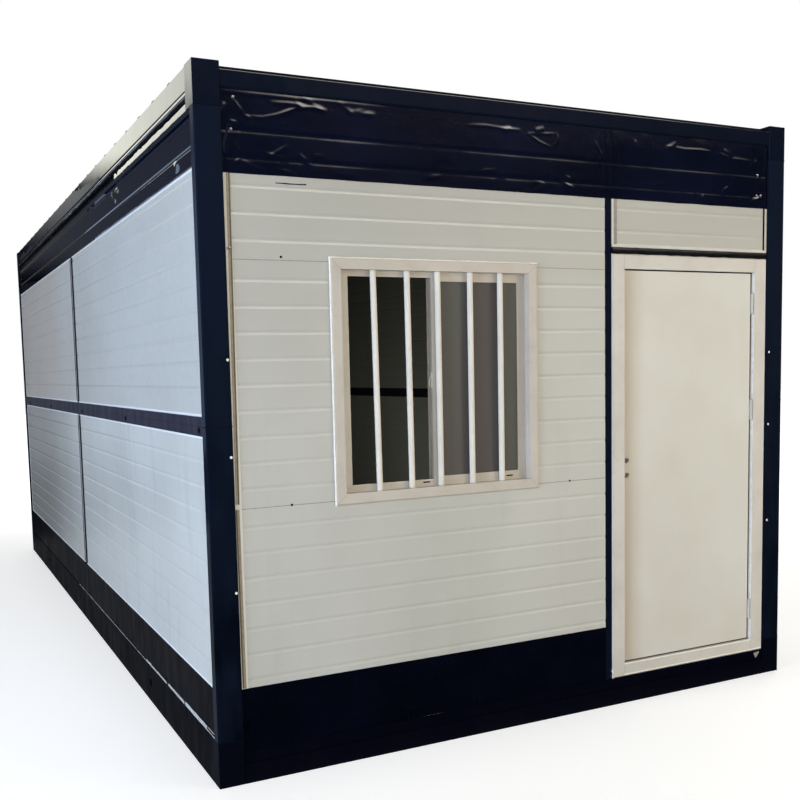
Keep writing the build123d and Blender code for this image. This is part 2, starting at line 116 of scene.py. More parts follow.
def sprayed_enamel(name, colour, dust_colour, dust_top, roughness, level, dust_share=0.9):
    """Alkyd enamel sprayed on rolled steel: dark and glossy, with orange peel, shallow dents and low dust."""
    material, shader, place = start_material(name)
    height = add(material, "SeparateXYZ", {"Vector": place})["Z"]
    drawn_down = add(material, "Mapping", {"Vector": place, "Scale": (1, 1, 0.3)})["Vector"]
    grime = add(material, "TexNoise", {"Vector": drawn_down, "Scale": per_metre(70), "Detail": 4})["Fac"]
    cloud = add(material, "TexNoise", {"Vector": place, "Scale": per_metre(420), "Detail": 3})["Fac"]
    peel = add(material, "TexNoise", {"Vector": place, "Scale": per_metre(5), "Detail": 2})["Fac"]
    dent = add(material, "TexNoise", {"Vector": place, "Scale": per_metre(260), "Detail": 2})["Fac"]
    low = add(material, "MapRange",
              {"Value": height, "From Max": dust_top, "To Min": dust_share, "To Max": 0.12})["Result"]
    dusty = add(material, "Math", {0: low, 1: grime}, operation="MULTIPLY")["Value"]
    patchy = add(material, "Math", {0: dusty, 1: cloud}, operation="MULTIPLY")["Value"]
    surface_colour = add(material, "Mix",
               {mix_share: patchy, mix_first: linear(colour), mix_second: linear(dust_colour)},
               data_type="RGBA")[mix_colour]
    uneven = add(material, "MapRange", {"Value": grime, "From Min": 0.3, "From Max": 0.75,
                                        "To Min": 0.85 * roughness, "To Max": 1.2 * roughness})["Result"]
    orange_peel = add(material, "Bump", {"Height": peel, "Distance": mm(0.001)})["Normal"]
    dented = add(material, "Bump", {"Height": dent, "Distance": mm(1.0), "Normal": orange_peel})["Normal"]
    fill(material, shader, {"Base Color": surface_colour, "Roughness": uneven, "Normal": dented, "IOR": 1.5,
                            "Specular IOR Level": level})
    return material


def coated_sheet(name, colour, shade, streak_and_shade_colour, wave_depth, shade_axis="Z", shade_from=1.2, shade_to=2.6):
    """Colour-coated sheet, roll formed: pale semi-gloss paint, wavy and streaked, with painted shade along
    one axis.
    """
    material, shader, place = start_material(name)
    run = add(material, "SeparateXYZ", {"Vector": place})[shade_axis]
    drawn_down = add(material, "Mapping", {"Vector": place, "Scale": (1, 1, 0.12)})["Vector"]
    streak = add(material, "TexNoise", {"Vector": drawn_down, "Scale": per_metre(80), "Detail": 2})["Fac"]
    speck = add(material, "TexNoise", {"Vector": place, "Scale": per_metre(25), "Detail": 2})["Fac"]
    wave = add(material, "TexNoise", {"Vector": drawn_down, "Scale": per_metre(150), "Detail": 1})["Fac"]
    streaked = add(material, "MapRange",
                   {"Value": streak, "From Min": 0.55, "From Max": 0.85, "To Max": 0.16})["Result"]
    # Painted shade: along the chosen axis the sheet drifts towards the streak colour
    painted_shade = add(material, "MapRange",
                 {"Value": run, "From Min": shade_from, "From Max": shade_to, "To Max": 0.45},
                 interpolation_type="SMOOTHSTEP")["Result"]
    streaks_and_painted_shade = add(material, "Math", {0: streaked, 1: painted_shade}, operation="MAXIMUM")["Value"]
    tone = clouded(material, place, 700, colour, shade)[1]
    surface_colour = add(material, "Mix", {mix_share: streaks_and_painted_shade, mix_first: tone, mix_second: linear(streak_and_shade_colour)},
               data_type="RGBA")[mix_colour]
    uneven = add(material, "MapRange",
                 {"Value": speck, "From Min": 0.3, "From Max": 0.7, "To Min": 0.3, "To Max": 0.4})["Result"]
    wavy = add(material, "Bump", {"Height": wave, "Distance": mm(wave_depth)})["Normal"]
    fill(material, shader, {"Base Color": surface_colour, "Roughness": uneven, "Normal": wavy, "IOR": 1.5})
    return material


def glossy_film(name, colour, shade, roughness, level, pucker_depth):
    """Calendered vinyl film stuck on by hand: deep, smooth and glossy, with puckers and trapped specks."""
    material, shader, place = start_material(name)
    speck = add(material, "TexNoise", {"Vector": place, "Scale": per_metre(9), "Detail": 2})["Fac"]
    pucker = add(material, "TexNoise", {"Vector": place, "Scale": per_metre(48), "Detail": 2})["Fac"]
    trapped = add(material, "MapRange", {"Value": speck, "From Min": 0.68, "From Max": 0.8})["Result"]
    tone = clouded(material, place, 320, colour, shade)[1]
    uneven = add(material, "MapRange", {"Value": speck, "From Min": 0.3, "From Max": 0.7,
                                        "To Min": 0.75 * roughness, "To Max": 1.4 * roughness})["Result"]
    puckered = add(material, "Bump", {"Height": pucker, "Distance": mm(pucker_depth)})["Normal"]
    speckled = add(material, "Bump",
                   {"Height": trapped, "Distance": mm(pucker_depth / 3), "Normal": puckered})["Normal"]
    fill(material, shader, {"Base Color": tone, "Roughness": uneven, "Normal": speckled, "IOR": 1.5,
                            "Specular IOR Level": level})
    return material


def extruded_plastic(name, colour, shade, mark_colour):
    """White rigid vinyl or smooth enamel: creamy, faintly drawn along its length, with the marks of hands."""
    material, shader, place = start_material(name)
    drawn_along = add(material, "Mapping", {"Vector": place, "Scale": (0.06, 1, 0.06)})["Vector"]
    mark = add(material, "TexNoise", {"Vector": place, "Scale": per_metre(40), "Detail": 3})["Fac"]
    line = add(material, "TexNoise", {"Vector": drawn_along, "Scale": per_metre(4), "Detail": 2})["Fac"]
    marked = add(material, "MapRange",
                 {"Value": mark, "From Min": 0.6, "From Max": 0.85, "To Max": 0.25})["Result"]
    tone = clouded(material, place, 160, colour, shade)[1]
    surface_colour = add(material, "Mix", {mix_share: marked, mix_first: tone, mix_second: linear(mark_colour)},
               data_type="RGBA")[mix_colour]
    uneven = add(material, "MapRange",
                 {"Value": mark, "From Min": 0.3, "From Max": 0.7, "To Min": 0.34, "To Max": 0.46})["Result"]
    drawn = add(material, "Bump", {"Height": line, "Distance": mm(0.06)})["Normal"]
    fill(material, shader, {"Base Color": surface_colour, "Roughness": uneven, "Normal": drawn, "IOR": 1.53})
    return material


def embossed_door_sheet(name, colour, shade, lock_edge_shade_colour, lock_edge, lock_edge_shade_reach):
    """Painted steel door skin with a fine rolled ripple: a soft broken sheen, and painted shade at the lock
    edge.
    """
    material, shader, place = start_material(name)
    across = add(material, "SeparateXYZ", {"Vector": place})["X"]
    drawn_across = add(material, "Mapping", {"Vector": place, "Scale": (0.5, 1, 1)})["Vector"]
    mark = add(material, "TexNoise", {"Vector": place, "Scale": per_metre(60), "Detail": 3})["Fac"]
    # The real ripple is about 3 mm; it is drawn at 8 mm so that it shows in the picture
    ripple = add(material, "TexNoise", {"Vector": drawn_across, "Scale": per_metre(8), "Detail": 1})["Fac"]
    sway = add(material, "TexNoise", {"Vector": place, "Scale": per_metre(380), "Detail": 1})["Fac"]
    # Painted shade: darker and browner towards the lock edge
    lock_edge_shade = add(material, "MapRange", {"Value": across, "From Min": lock_edge,
                                         "From Max": lock_edge + lock_edge_shade_reach, "To Min": 0.75, "To Max": 0.0},
                  interpolation_type="SMOOTHSTEP")["Result"]
    tone = clouded(material, place, 500, colour, shade)[1]
    surface_colour = add(material, "Mix", {mix_share: lock_edge_shade, mix_first: tone, mix_second: linear(lock_edge_shade_colour)},
               data_type="RGBA")[mix_colour]
    uneven = add(material, "MapRange",
                 {"Value": mark, "From Min": 0.3, "From Max": 0.7, "To Min": 0.36, "To Max": 0.48})["Result"]
    rippled = add(material, "Bump", {"Height": ripple, "Distance": mm(0.2)})["Normal"]
    swayed = add(material, "Bump", {"Height": sway, "Distance": mm(1.0), "Normal": rippled})["Normal"]
    fill(material, shader, {"Base Color": surface_colour, "Roughness": uneven, "Normal": swayed, "IOR": 1.5})
    return material


def float_glass(name):
    """Clear float glass, a little dusty: see-through, faintly green, with a sharp reflection."""
    material, shader, place = start_material(name)
    dust = add(material, "TexNoise", {"Vector": place, "Scale": per_metre(45), "Detail": 5})["Fac"]
    sway = add(material, "TexNoise", {"Vector": place, "Scale": per_metre(400), "Detail": 1})["Fac"]
    dusty = add(material, "MapRange",
                {"Value": dust, "From Min": 0.4, "From Max": 0.8, "To Min": 0.02, "To Max": 0.12})["Result"]
    swayed = add(material, "Bump", {"Height": sway, "Distance": mm(0.3)})["Normal"]
    fill(material, shader, {"Base Color": linear("#c9d2cd"), "Roughness": dusty, "Normal": swayed,
                            "Transmission Weight": 1.0, "IOR": 1.45, "Specular IOR Level": 0.35})
    return material


def woven_screen(name):
    """Woven glass-fibre insect screen: a dull grey haze, with soft upright bands where it is slack."""
    material, shader, place = start_material(name)
    # The real mesh is 1.4 mm; it is drawn at 4 mm so that it shows in the picture
    thread_pitch = {"Vector": place, "Scale": per_metre(4)}
    warp = add(material, "TexWave", thread_pitch, bands_direction="X")["Fac"]
    weft = add(material, "TexWave", thread_pitch, bands_direction="Z")["Fac"]
    thread = add(material, "Math", {0: warp, 1: weft}, operation="MAXIMUM")["Value"]
    drawn_down = add(material, "Mapping", {"Vector": place, "Scale": (1, 1, 0.05)})["Vector"]
    band = add(material, "TexNoise", {"Vector": drawn_down, "Scale": per_metre(110), "Detail": 2})["Fac"]
    banded = add(material, "MapRange", {"Value": band, "From Min": 0.38, "From Max": 0.62})["Result"]
    tone = add(material, "Mix",
               {mix_share: banded, mix_first: linear("#6b6c68"), mix_second: linear("#655e60")},
               data_type="RGBA")[mix_colour]
    woven = add(material, "Mix", {mix_share: thread, mix_first: linear("#4c4c49"), mix_second: tone},
                data_type="RGBA")[mix_colour]
    uneven = add(material, "MapRange", {"Value": band, "To Min": 0.7, "To Max": 0.9})["Result"]
    relief = add(material, "Bump", {"Height": thread, "Distance": mm(0.2)})["Normal"]
    fill(material, shader, {"Base Color": woven, "Roughness": uneven, "Normal": relief, "Alpha": 0.92,
                            "Specular IOR Level": 0.2})
    return material


def mottled(name, size_mm, colour, shade, roughness, depth, low=0.35, detail=3):
    """A material whose colour, roughness and relief all follow one cloudy noise, with its shader node."""
    material, shader, place = start_material(name)
    cloud, tone = clouded(material, place, size_mm, colour, shade, low, detail)
    smoothest, roughest = roughness
    uneven = add(material, "MapRange", {"Value": cloud, "From Min": 0.3, "From Max": 0.7,
                                        "To Min": smoothest, "To Max": roughest})["Result"]
    relief = add(material, "Bump", {"Height": cloud, "Distance": mm(depth)})["Normal"]
    fill(material, shader, {"Base Color": tone, "Roughness": uneven, "Normal": relief})
    return material, shader


def zinc_steel(name, colour, shade, roughness):
    """Zinc-plated pressed steel: grey metal with a cloudy bloom."""
    material, shader = mottled(name, 12, colour, shade, (roughness, roughness + 0.15), 0.05, 0.3, 4)
    fill(material, shader, {"Metallic": 0.85})
    return material


def hand_pressed_rubber(name, colour, shade, roughness, level):
    """Mastic, sealant or rubber, pressed in by hand: uneven, lumpy and a little greasy."""
    material, shader = mottled(name, 22, colour, shade, (roughness, roughness + 0.2), 0.6)
    fill(material, shader, {"IOR": 1.5, "Specular IOR Level": level})
    return material


def cement_board(name):
    """Fibre-cement floor board under clear sealer: grey-brown, mottled and matt."""
    return mottled(name, 70, "#6f685f", "#5b564e", (0.6, 0.8), 0.4, 0.3, 6)[0]


leaf_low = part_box("door_leaf")[0]
navy_enamel = sprayed_enamel("sprayed_navy_enamel", "#0b1323", "#161c27", 0.3, 0.13, 0.5)
# On the posts the dust colour is near black and reaches high: they only grow darker towards the bottom
post_enamel = sprayed_enamel("sprayed_post_enamel", "#131b2a", "#000208", 2.2, 0.13, 0.02, 2.6)
side_beam_enamel = sprayed_enamel("sprayed_side_beam_enamel", "#0b1323", "#161c27", 0.3, 0.004, 0.5)
# The mid rails are drawn a purple grey far lighter than the navy enamel: painted sheen
mid_rail_enamel = sprayed_enamel("sprayed_mid_rail_enamel", "#2a2937", "#38343a", 0.4, 0.5, 0.1)
bottom_rail_enamel = sprayed_enamel("sprayed_bottom_rail_enamel", "#0e0d11", "#181617", 0.4, 0.45, 0.02)
block_enamel = sprayed_enamel("sprayed_block_enamel", "#050914", "#0b0b12", 0.14, 0.45, 0.02)
sill_enamel = sprayed_enamel("sprayed_sill_enamel", "#030513", "#121116", 0.14, 0.45, 0.04)
base_enamel = sprayed_enamel("sprayed_base_enamel", "#05060c", "#131213", 0.14, 0.5, 0.02)
# Sheets on the Z axis grow darker towards the top: painted shade
white_sheet = coated_sheet("coated_white_sheet", "#c3c4be", "#babbb4", "#a09f97", 0.9)
# Lit and shaded copies: upper side sheets drawn darker than lower, both tinted towards the far end: painted
# shade and reflection
low_side_sheet = coated_sheet("coated_low_side_sheet", "#c9cbc6", "#c0c2bc", "#4f402c", 0.4, "Y", -0.4, 1.6)
high_side_sheet = coated_sheet("coated_high_side_sheet", "#bbbcb7", "#b3b4ae", "#c4b09b", 0.9, "Y", -0.6, 1.6)
white_channel = coated_sheet("coated_white_channel", "#dddcd6", "#d3d2cb", "#b4b0a6", 0.3)
# Real white trim, drawn brighter and bluer than the front channels: painted highlight
side_channel = coated_sheet("coated_side_channel", "#f1f3f4", "#e6e9ea", "#c9cbcb", 0.3)
# The roof sheet is drawn near black so that its rib ends read as shaded: painted shade
roof_sheet_finish = coated_sheet("coated_roof_sheet", "#141518", "#101113", "#1c1b1a", 0.8)
header_film_finish = glossy_film("glossy_navy_film", "#060a1a", "#0a1026", 0.12, 0.5, 0.16)
side_film_finish = glossy_film("smooth_navy_film", "#070b1a", "#0a0f22", 0.004, 0.5, 0.0)
skirt_film_finish = glossy_film("dull_navy_film", "#02040f", "#040818", 0.3, 0.1, 0.1)
frame_vinyl = extruded_plastic("extruded_white_vinyl", "#c6c0b6", "#bdb6ab", "#958c80")
door_frame_enamel = extruded_plastic("smooth_door_frame_enamel", "#cfccc6", "#c6c3bc", "#a8a196")
bar_enamel = extruded_plastic("smooth_bar_enamel", "#e3ded2", "#d9d4c8", "#b8b4aa")
door_skin = embossed_door_sheet("embossed_door_skin", "#d3d4ce", "#cccac1", "#b9ac9c", leaf_low.x, 0.14)
clear_glass = float_glass("clear_float_glass")
screen_mesh = woven_screen("woven_insect_screen")
bright_zinc = zinc_steel("bright_zinc_steel", "#d9d9d6", "#b3b4b3", 0.3)
dark_bolt_steel = zinc_steel("blackened_bolt_steel", "#15161a", "#0c0d10", 0.45)
black_mastic = hand_pressed_rubber("black_mastic", "#050409", "#110f17", 0.3, 0.4)
# Dark for real seams, slots and joints, and for painted shade in the door gaps and the side beams' channel
dark_seams_and_painted_shade = hand_pressed_rubber("dark_seam_rubber_and_painted_shade", "#04050a", "#090a10", 0.7, 0.1)
joint_rubber = hand_pressed_rubber("grey_joint_rubber", "#9a978d", "#87847a", 0.6, 0.2)
# Painted shade of the edge channels' recess: brown, and darker at its core
recess_shade = hand_pressed_rubber("brown_recess_shade", "#a0988a", "#8f8778", 0.6, 0.2)
deep_recess_shade = hand_pressed_rubber("dark_deep_recess_shade", "#6e6759", "#5f594c", 0.7, 0.1)
# White for the tabs at the door frame's foot, and for painted highlights and glints elsewhere
white_tabs_and_painted_highlights = hand_pressed_rubber("white_tabs_and_painted_highlights", "#f4f2ec", "#e4e1d8", 0.35, 0.4)
pale_sealant = hand_pressed_rubber("pale_sealant", "#c9c8c4", "#a09f9b", 0.4, 0.4)
floor_board_finish = cement_board("fibre_cement_board")

slot_finish = {
    "navy_paint": navy_enamel,
    "base_paint": base_enamel,
    "panel_white": white_sheet,
    "navy_film": header_film_finish,
    "frame_white": frame_vinyl,
    "door_white": door_skin,
    "window_glass": clear_glass,
    "roof_steel": roof_sheet_finish,
    "floor_board": floor_board_finish,
    "hinge_steel": bright_zinc,
}
node_finish = {
    "front_left_post": post_enamel,
    "front_right_post": post_enamel,
    "back_left_post": post_enamel,
    "back_right_post": post_enamel,
    "roof_side_beams": side_beam_enamel,
    "base_corner_blocks": block_enamel,
    "base_end_beams": sill_enamel,
    "left_lower_panels": low_side_sheet,
    "left_upper_panels": high_side_sheet,
    "left_mid_rails": mid_rail_enamel,
    "right_mid_rails": mid_rail_enamel,
    "left_bottom_rail": bottom_rail_enamel,
    "right_bottom_rail": bottom_rail_enamel,
    "side_middle_stiles": bottom_rail_enamel,
    "front_edge_channels": white_channel,
    "door_frame": door_frame_enamel,
    "frame_hinge_knuckles": door_frame_enamel,
    "leaf_hinge_knuckles": door_frame_enamel,
}
for subpart in frame["record"]["subparts"]:
    node = subpart["node"]
    materials = frame["nodes"][node].data.materials
    materials.clear()
    materials.append(node_finish.get(node, slot_finish[subpart["material_slot"]]))


# Mesh helpers

def keep_piece(name, shape, finish, body="booth", smooth_angle=None):
    """Turn a finished mesh into a piece of the booth, with its finish, that rides on a body."""
    bmesh.ops.recalc_face_normals(shape, faces=shape.faces)
    mesh = bpy.data.meshes.new(name)
    shape.to_mesh(mesh)
    shape.free()
    mesh.materials.append(finish)
    if smooth_angle is not None:
        mesh.shade_smooth()
        mesh.set_sharp_from_angle(angle=math.radians(smooth_angle))
    piece = bpy.data.objects.new(name, mesh)
    scene.collection.objects.link(piece)
    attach(piece, body)
    return piece


def close_rings(shape, rings):
    """Skin a row of equal rings and close both ends."""
    count = len(rings[0])
    for low, high in zip(rings, rings[1:]):
        for side in range(count):
            after = (side + 1) % count
            shape.faces.new((low[side], low[after], high[after], high[side]))
    shape.faces.new(rings[0][::-1])
    shape.faces.new(rings[-1])


def turn(shape, foot, axis, profile, sides):
    """Add a turned form: pairs of radius and height along the axis, from the foot."""
    swing = Vector(axis).to_track_quat("Z", "Y").to_matrix()
    rings = []
    for radius, height in profile:
        ring = []
        for side in range(sides):
            angle = 2 * math.pi * side / sides
            corner = Vector((radius * math.cos(angle), radius * math.sin(angle), height))
            ring.append(shape.verts.new(Vector(foot) + swing @ corner))
        rings.append(ring)
    close_rings(shape, rings)


def strip(shape, start, end, out, width, proud):
    """Add a flat strip with bevelled edges that lies on a face; out points away from the face."""
    across = (Vector(end) - Vector(start)).cross(out).normalized() * width / 2
    bevel = min(proud, width / 4)
    slope = across.normalized() * bevel
    section = [-across, across, across + out * (proud - bevel / 2), across - slope + out * proud,
               slope - across + out * proud, out * (proud - bevel / 2) - across]
    close_rings(shape, [[shape.verts.new(Vector(point) + corner) for corner in section]
                        for point in (start, end)])


def sheet(shape, columns, rows, outer, inner):
    """Add a closed thin sheet; two functions give its outer and inner points for shares across and up."""
    grids = [[[shape.verts.new(surface(column / columns, row / rows)) for column in range(columns + 1)]
              for row in range(rows + 1)] for surface in (outer, inner)]
    for grid in grids:
        for low, high in zip(grid, grid[1:]):
            for column in range(columns):
                shape.faces.new((low[column], low[column + 1], high[column + 1], high[column]))
    rims = []
    for grid in grids:
        right_edge = [row[-1] for row in grid[1:-1]]
        left_edge = [row[0] for row in grid[1:-1]]
        rims.append(grid[0] + right_edge + grid[-1][::-1] + left_edge[::-1])
    count = len(rims[0])
    for place in range(count):
        after = (place + 1) % count
        shape.faces.new((rims[0][place], rims[1][place], rims[1][after], rims[0][after]))


# Sides of the turned heads of screws, washers and bolts
screw_sides, washer_sides, bolt_sides = 16, 20, 6


def screw(shape, foot, out, radius):
    """Add a pan-head screw or blind rivet: a thin flange under a low dome."""
    turn(shape, foot, out, [(radius * 1.25, 0), (radius * 1.25, radius * 0.2), (radius, radius * 0.3),
                            (radius * 0.85, radius * 0.62), (radius * 0.45, radius * 0.85),
                            (radius * 0.12, radius * 0.9)], screw_sides)


def flush_screw(shape, foot, out, radius):
    """Add the head of a countersunk screw, all but level with its face."""
    turn(shape, foot, out, [(radius, 0), (radius, mm(0.03)), (radius * 0.8, mm(0.1))], screw_sides)


def bolt(shape, foot, out, radius):
    """Add a low hexagon bolt on a round washer."""
    washer = radius * 0.14
    turn(shape, foot, out, [(radius * 1.7, 0), (radius * 1.7, washer * 0.7), (radius * 1.6, washer)],
         washer_sides)
    head_foot = Vector(foot) + Vector(out) * washer
    turn(shape, head_foot, out, [(radius, 0), (radius, radius * 0.28), (radius * 0.85, radius * 0.36)],
         bolt_sides)


def waver(place, seed, size):
    """Smooth noise from about -1 to 1 along a line, with waves of about that size."""
    return noise.noise(Vector((place / size, seed * 7.3, seed * 3.1)))


# Directions out of the faces
out_front = Vector((0, -1, 0))
out_left = Vector((-1, 0, 0))
out_back = Vector((0, 1, 0))
out_right = Vector((1, 0, 0))
upward = Vector((0, 0, 1))

# Places taken from the solids, and the widths of a few members that a box doesn't give
panel_low, panel_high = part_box("front_bottom_panel")
panel_face_y = panel_low.y
wall_left_x = panel_low.x
lower_joint_z = panel_high.z
upper_joint_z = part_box("front_middle_left_panel")[1].z
top_panel_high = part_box("front_top_panel")[1]
channel_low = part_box("front_edge_channels")[0]
mullion_low, mullion_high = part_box("door_mullion")
flange_low, flange_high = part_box("window_frame")
door_frame_low, door_frame_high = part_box("door_frame")
lock_jamb, hinge_jamb, door_sill, door_head = mm(70), mm(80), mm(65), mm(68)
doorway_left, doorway_right = door_frame_low.x + lock_jamb, door_frame_high.x - hinge_jamb
doorway_low, doorway_high = door_frame_low.z + door_sill, door_frame_high.z - door_head
transom_low, transom_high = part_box("transom_rail")
transom_panel_low, transom_panel_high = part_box("transom_panel")
film_low, film_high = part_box("front_film_bands")
lower_panel_low, lower_panel_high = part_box("left_lower_panels")
upper_panel_low, upper_panel_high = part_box("left_upper_panels")
side_film_low, side_film_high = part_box("left_header_film")
mid_rail_low, mid_rail_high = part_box("left_mid_rails")
bottom_rail_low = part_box("left_bottom_rail")[0]
stile_low, stile_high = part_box("side_middle_stiles")
sash_low, sash_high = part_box("left_sash")
block_low, block_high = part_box("roof_corner_blocks")
base_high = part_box("base_corner_blocks")[1]
sill_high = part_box("base_end_beams")[1]
beam_low, beam_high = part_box("roof_end_beams")
roof_low, roof_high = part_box("roof_sheet")
half_width = block_high.x
half_length = block_high.y
post_width = wall_left_x + half_width
fold_z = (mid_rail_low.z + mid_rail_high.z) / 2
header_band = mm(234)

# Window bars: five round tubes from head to sill of the window's outer reveal, set a little out of true
bar_leans = ((2, 13), (8, 15), (3, 6), (12, 13), (14, 14))
bar_radius = mm(12.5)
bar_setback = mm(25)
bar_rim = mm(1)
bar_sides = 28
window_flange = mm(47)
reveal_low = Vector((flange_low.x + window_flange, flange_low.y, flange_low.z + window_flange))
reveal_high = Vector((flange_high.x - window_flange, flange_low.y, flange_high.z - window_flange))
bars = bmesh.new()
for bar, (head_shift, foot_shift) in enumerate(bar_leans):
    bar_x = reveal_low.x + (bar + 1) * (reveal_high.x - reveal_low.x) / (len(bar_leans) + 1)
    foot = Vector((bar_x + mm(foot_shift), flange_low.y + bar_setback, reveal_low.z))
    head = Vector((bar_x + mm(head_shift), flange_low.y + bar_setback, reveal_high.z))
    length = (head - foot).length
    profile = [(bar_radius - bar_rim, 0), (bar_radius, bar_rim), (bar_radius, length - bar_rim),
               (bar_radius - bar_rim, length)]
    turn(bars, foot, head - foot, profile, bar_sides)
keep_piece("window_bars", bars, bar_enamel, smooth_angle=40)

# Empty track of the slid sash: its jamb, head and sill show behind the bars
lining_proud = mm(2)
lining_y = sash_low.y + lining_proud
lining_jamb, lining_head, lining_sill = mm(46), mm(24), mm(28)
jamb_x = reveal_low.x + lining_jamb / 2
lining = bmesh.new()
strip(lining, (jamb_x, lining_y, reveal_low.z), (jamb_x, lining_y, reveal_high.z), out_front, lining_jamb,
      lining_proud)
for member_z, height in ((reveal_high.z - lining_head / 2, lining_head),
                         (reveal_low.z + lining_sill / 2, lining_sill)):
    strip(lining, (reveal_low.x + lining_jamb, lining_y, member_z), (sash_low.x, lining_y, member_z),
          out_front, height, lining_proud)
keep_piece("sash_track_lining", lining, frame_vinyl)

# Insect screen in the slid sash, a little slack in the middle
sash_rail = mm(38)
screen_lap = mm(3)
screen_y = sash_low.y + mm(4)
screen_sag = mm(2.5)
screen_thickness = mm(0.6)
screen_grid = (14, 28)
screen_low = Vector((sash_low.x + sash_rail - screen_lap, screen_y, sash_low.z + sash_rail - screen_lap))
screen_size = Vector((sash_high.x - sash_low.x, 0, sash_high.z - sash_low.z)) - Vector((1, 0, 1)) * 2 * (
    sash_rail - screen_lap)


def screen_point(across, up, behind):
    """A point of the screen, which sags back between its edges."""
    sag = screen_sag * math.sin(math.pi * across) * math.sin(math.pi * up)
    return screen_low + Vector((across * screen_size.x, sag + behind, up * screen_size.z))


screen = bmesh.new()
sheet(screen, *screen_grid, lambda across, up: screen_point(across, up, 0),
      lambda across, up: screen_point(across, up, screen_thickness))
keep_piece("insect_screen", screen, screen_mesh, smooth_angle=60)

# Sash pull on the free stile of the slid sash
pull_low_z, pull_high_z = 1.525, 1.592
pull_plate, pull_plate_width = mm(2), mm(11)
lever_reach, lever_width, lever_thickness = mm(11), mm(7), mm(2.5)
lever_grid = (2, 14)
pull_depth = sash_low.y + mm(8)
pull = bmesh.new()
strip(pull, (sash_low.x, pull_depth, pull_low_z), (sash_low.x, pull_depth, pull_high_z), out_left,
      pull_plate_width, pull_plate)


def pull_point(across, up, behind):
    """A point of the pull's lever, which curls away from the stile."""
    reach = pull_plate + lever_reach * math.sin(math.pi * (0.25 + 0.75 * up)) * (1 - 0.3 * up)
    return Vector((sash_low.x - reach + behind, pull_depth + lever_width * (across - 0.5),
                   pull_low_z + (pull_high_z - pull_low_z) * (0.1 + 0.8 * up)))


sheet(pull, *lever_grid, lambda across, up: pull_point(across, up, 0),
      lambda across, up: pull_point(across, up, lever_thickness))
keep_piece("sash_pull", pull, bar_enamel, smooth_angle=50)

# Drain slots in the face of the sill's track, each in a moulded rim
drain_places = (-0.538, -0.119)
drain_z = reveal_low.z + mm(17)
drain_rims = bmesh.new()
drain_slots = bmesh.new()
drain_forms = ((drain_rims, mm(20), mm(12), mm(0.8)), (drain_slots, mm(16), mm(7), mm(1.2)))
for drain_x in drain_places:
    for shape, half_run, height, proud in drain_forms:
        strip(shape, (drain_x - half_run, sash_low.y, drain_z), (drain_x + half_run, sash_low.y, drain_z),
              out_front, height, proud)
keep_piece("drain_rims", drain_rims, frame_vinyl)
keep_piece("drain_slots", drain_slots, dark_seams_and_painted_shade)

# Mitres of the window frame and butt joints of the door frame, seen as fine dirty lines
line_width = mm(0.9)
line_proud = mm(0.2)
flange_bevel = mm(8)
mitres = bmesh.new()
for side_x, inner_x in ((flange_low.x, reveal_low.x), (flange_high.x, reveal_high.x)):
    for side_z, inner_z in ((flange_low.z, reveal_low.z), (flange_high.z, reveal_high.z)):
        inward = Vector((math.copysign(1, inner_x - side_x), 0, math.copysign(1, inner_z - side_z)))
        corner = Vector((side_x, flange_low.y, side_z)) + inward * flange_bevel
        strip(mitres, corner, Vector((inner_x, flange_low.y, inner_z)), out_front, line_width, line_proud)
door_frame_bevel = mm(6)
for joint_x in (doorway_left, doorway_right):
    for low_z, high_z in ((door_frame_low.z + door_frame_bevel, doorway_low),
                          (doorway_high, door_frame_high.z - door_frame_bevel)):
        strip(mitres, (joint_x, door_frame_low.y, low_z), (joint_x, door_frame_low.y, high_z), out_front,
              line_width, line_proud)
keep_piece("frame_joint_lines", mitres, joint_rubber)

# White strips along the door frame's sill, above its lower bevel and under the leaf: painted highlights
sill_highlight_width, sill_highlight_proud = mm(6), mm(0.4)
sill_highlight_runs = ((doorway_left - mm(2), door_frame_high.x - door_frame_bevel, door_frame_low.z + mm(10)),
               (doorway_left, doorway_right, doorway_low - mm(3.5)))
sill_highlights = bmesh.new()
for low_x, high_x, sill_highlight_z in sill_highlight_runs:
    strip(sill_highlights, (low_x, door_frame_low.y, sill_highlight_z), (high_x, door_frame_low.y, sill_highlight_z), out_front,
          sill_highlight_width, sill_highlight_proud)
keep_piece("sill_painted_highlights", sill_highlights, white_tabs_and_painted_highlights)

# Joints between the panel courses, with the dark tongue showing in the gap
joint_width, joint_proud = mm(3), mm(0.3)
edge_channel_width = mm(28)
course_joints = bmesh.new()
for joint_z in (lower_joint_z, upper_joint_z):
    spans = ((channel_low.x + edge_channel_width, mullion_low.x),)
    if flange_low.z < joint_z < flange_high.z:
        spans = ((spans[0][0], flange_low.x), (flange_high.x, mullion_low.x))
    for start_x, end_x in spans:
        strip(course_joints, (start_x, panel_face_y, joint_z), (end_x, panel_face_y, joint_z), out_front,
              joint_width, joint_proud)
    strip(course_joints, (half_width - post_width, -panel_face_y, joint_z),
          (post_width - half_width, -panel_face_y, joint_z), out_back, joint_width, joint_proud)
keep_piece("course_joints", course_joints, joint_rubber)

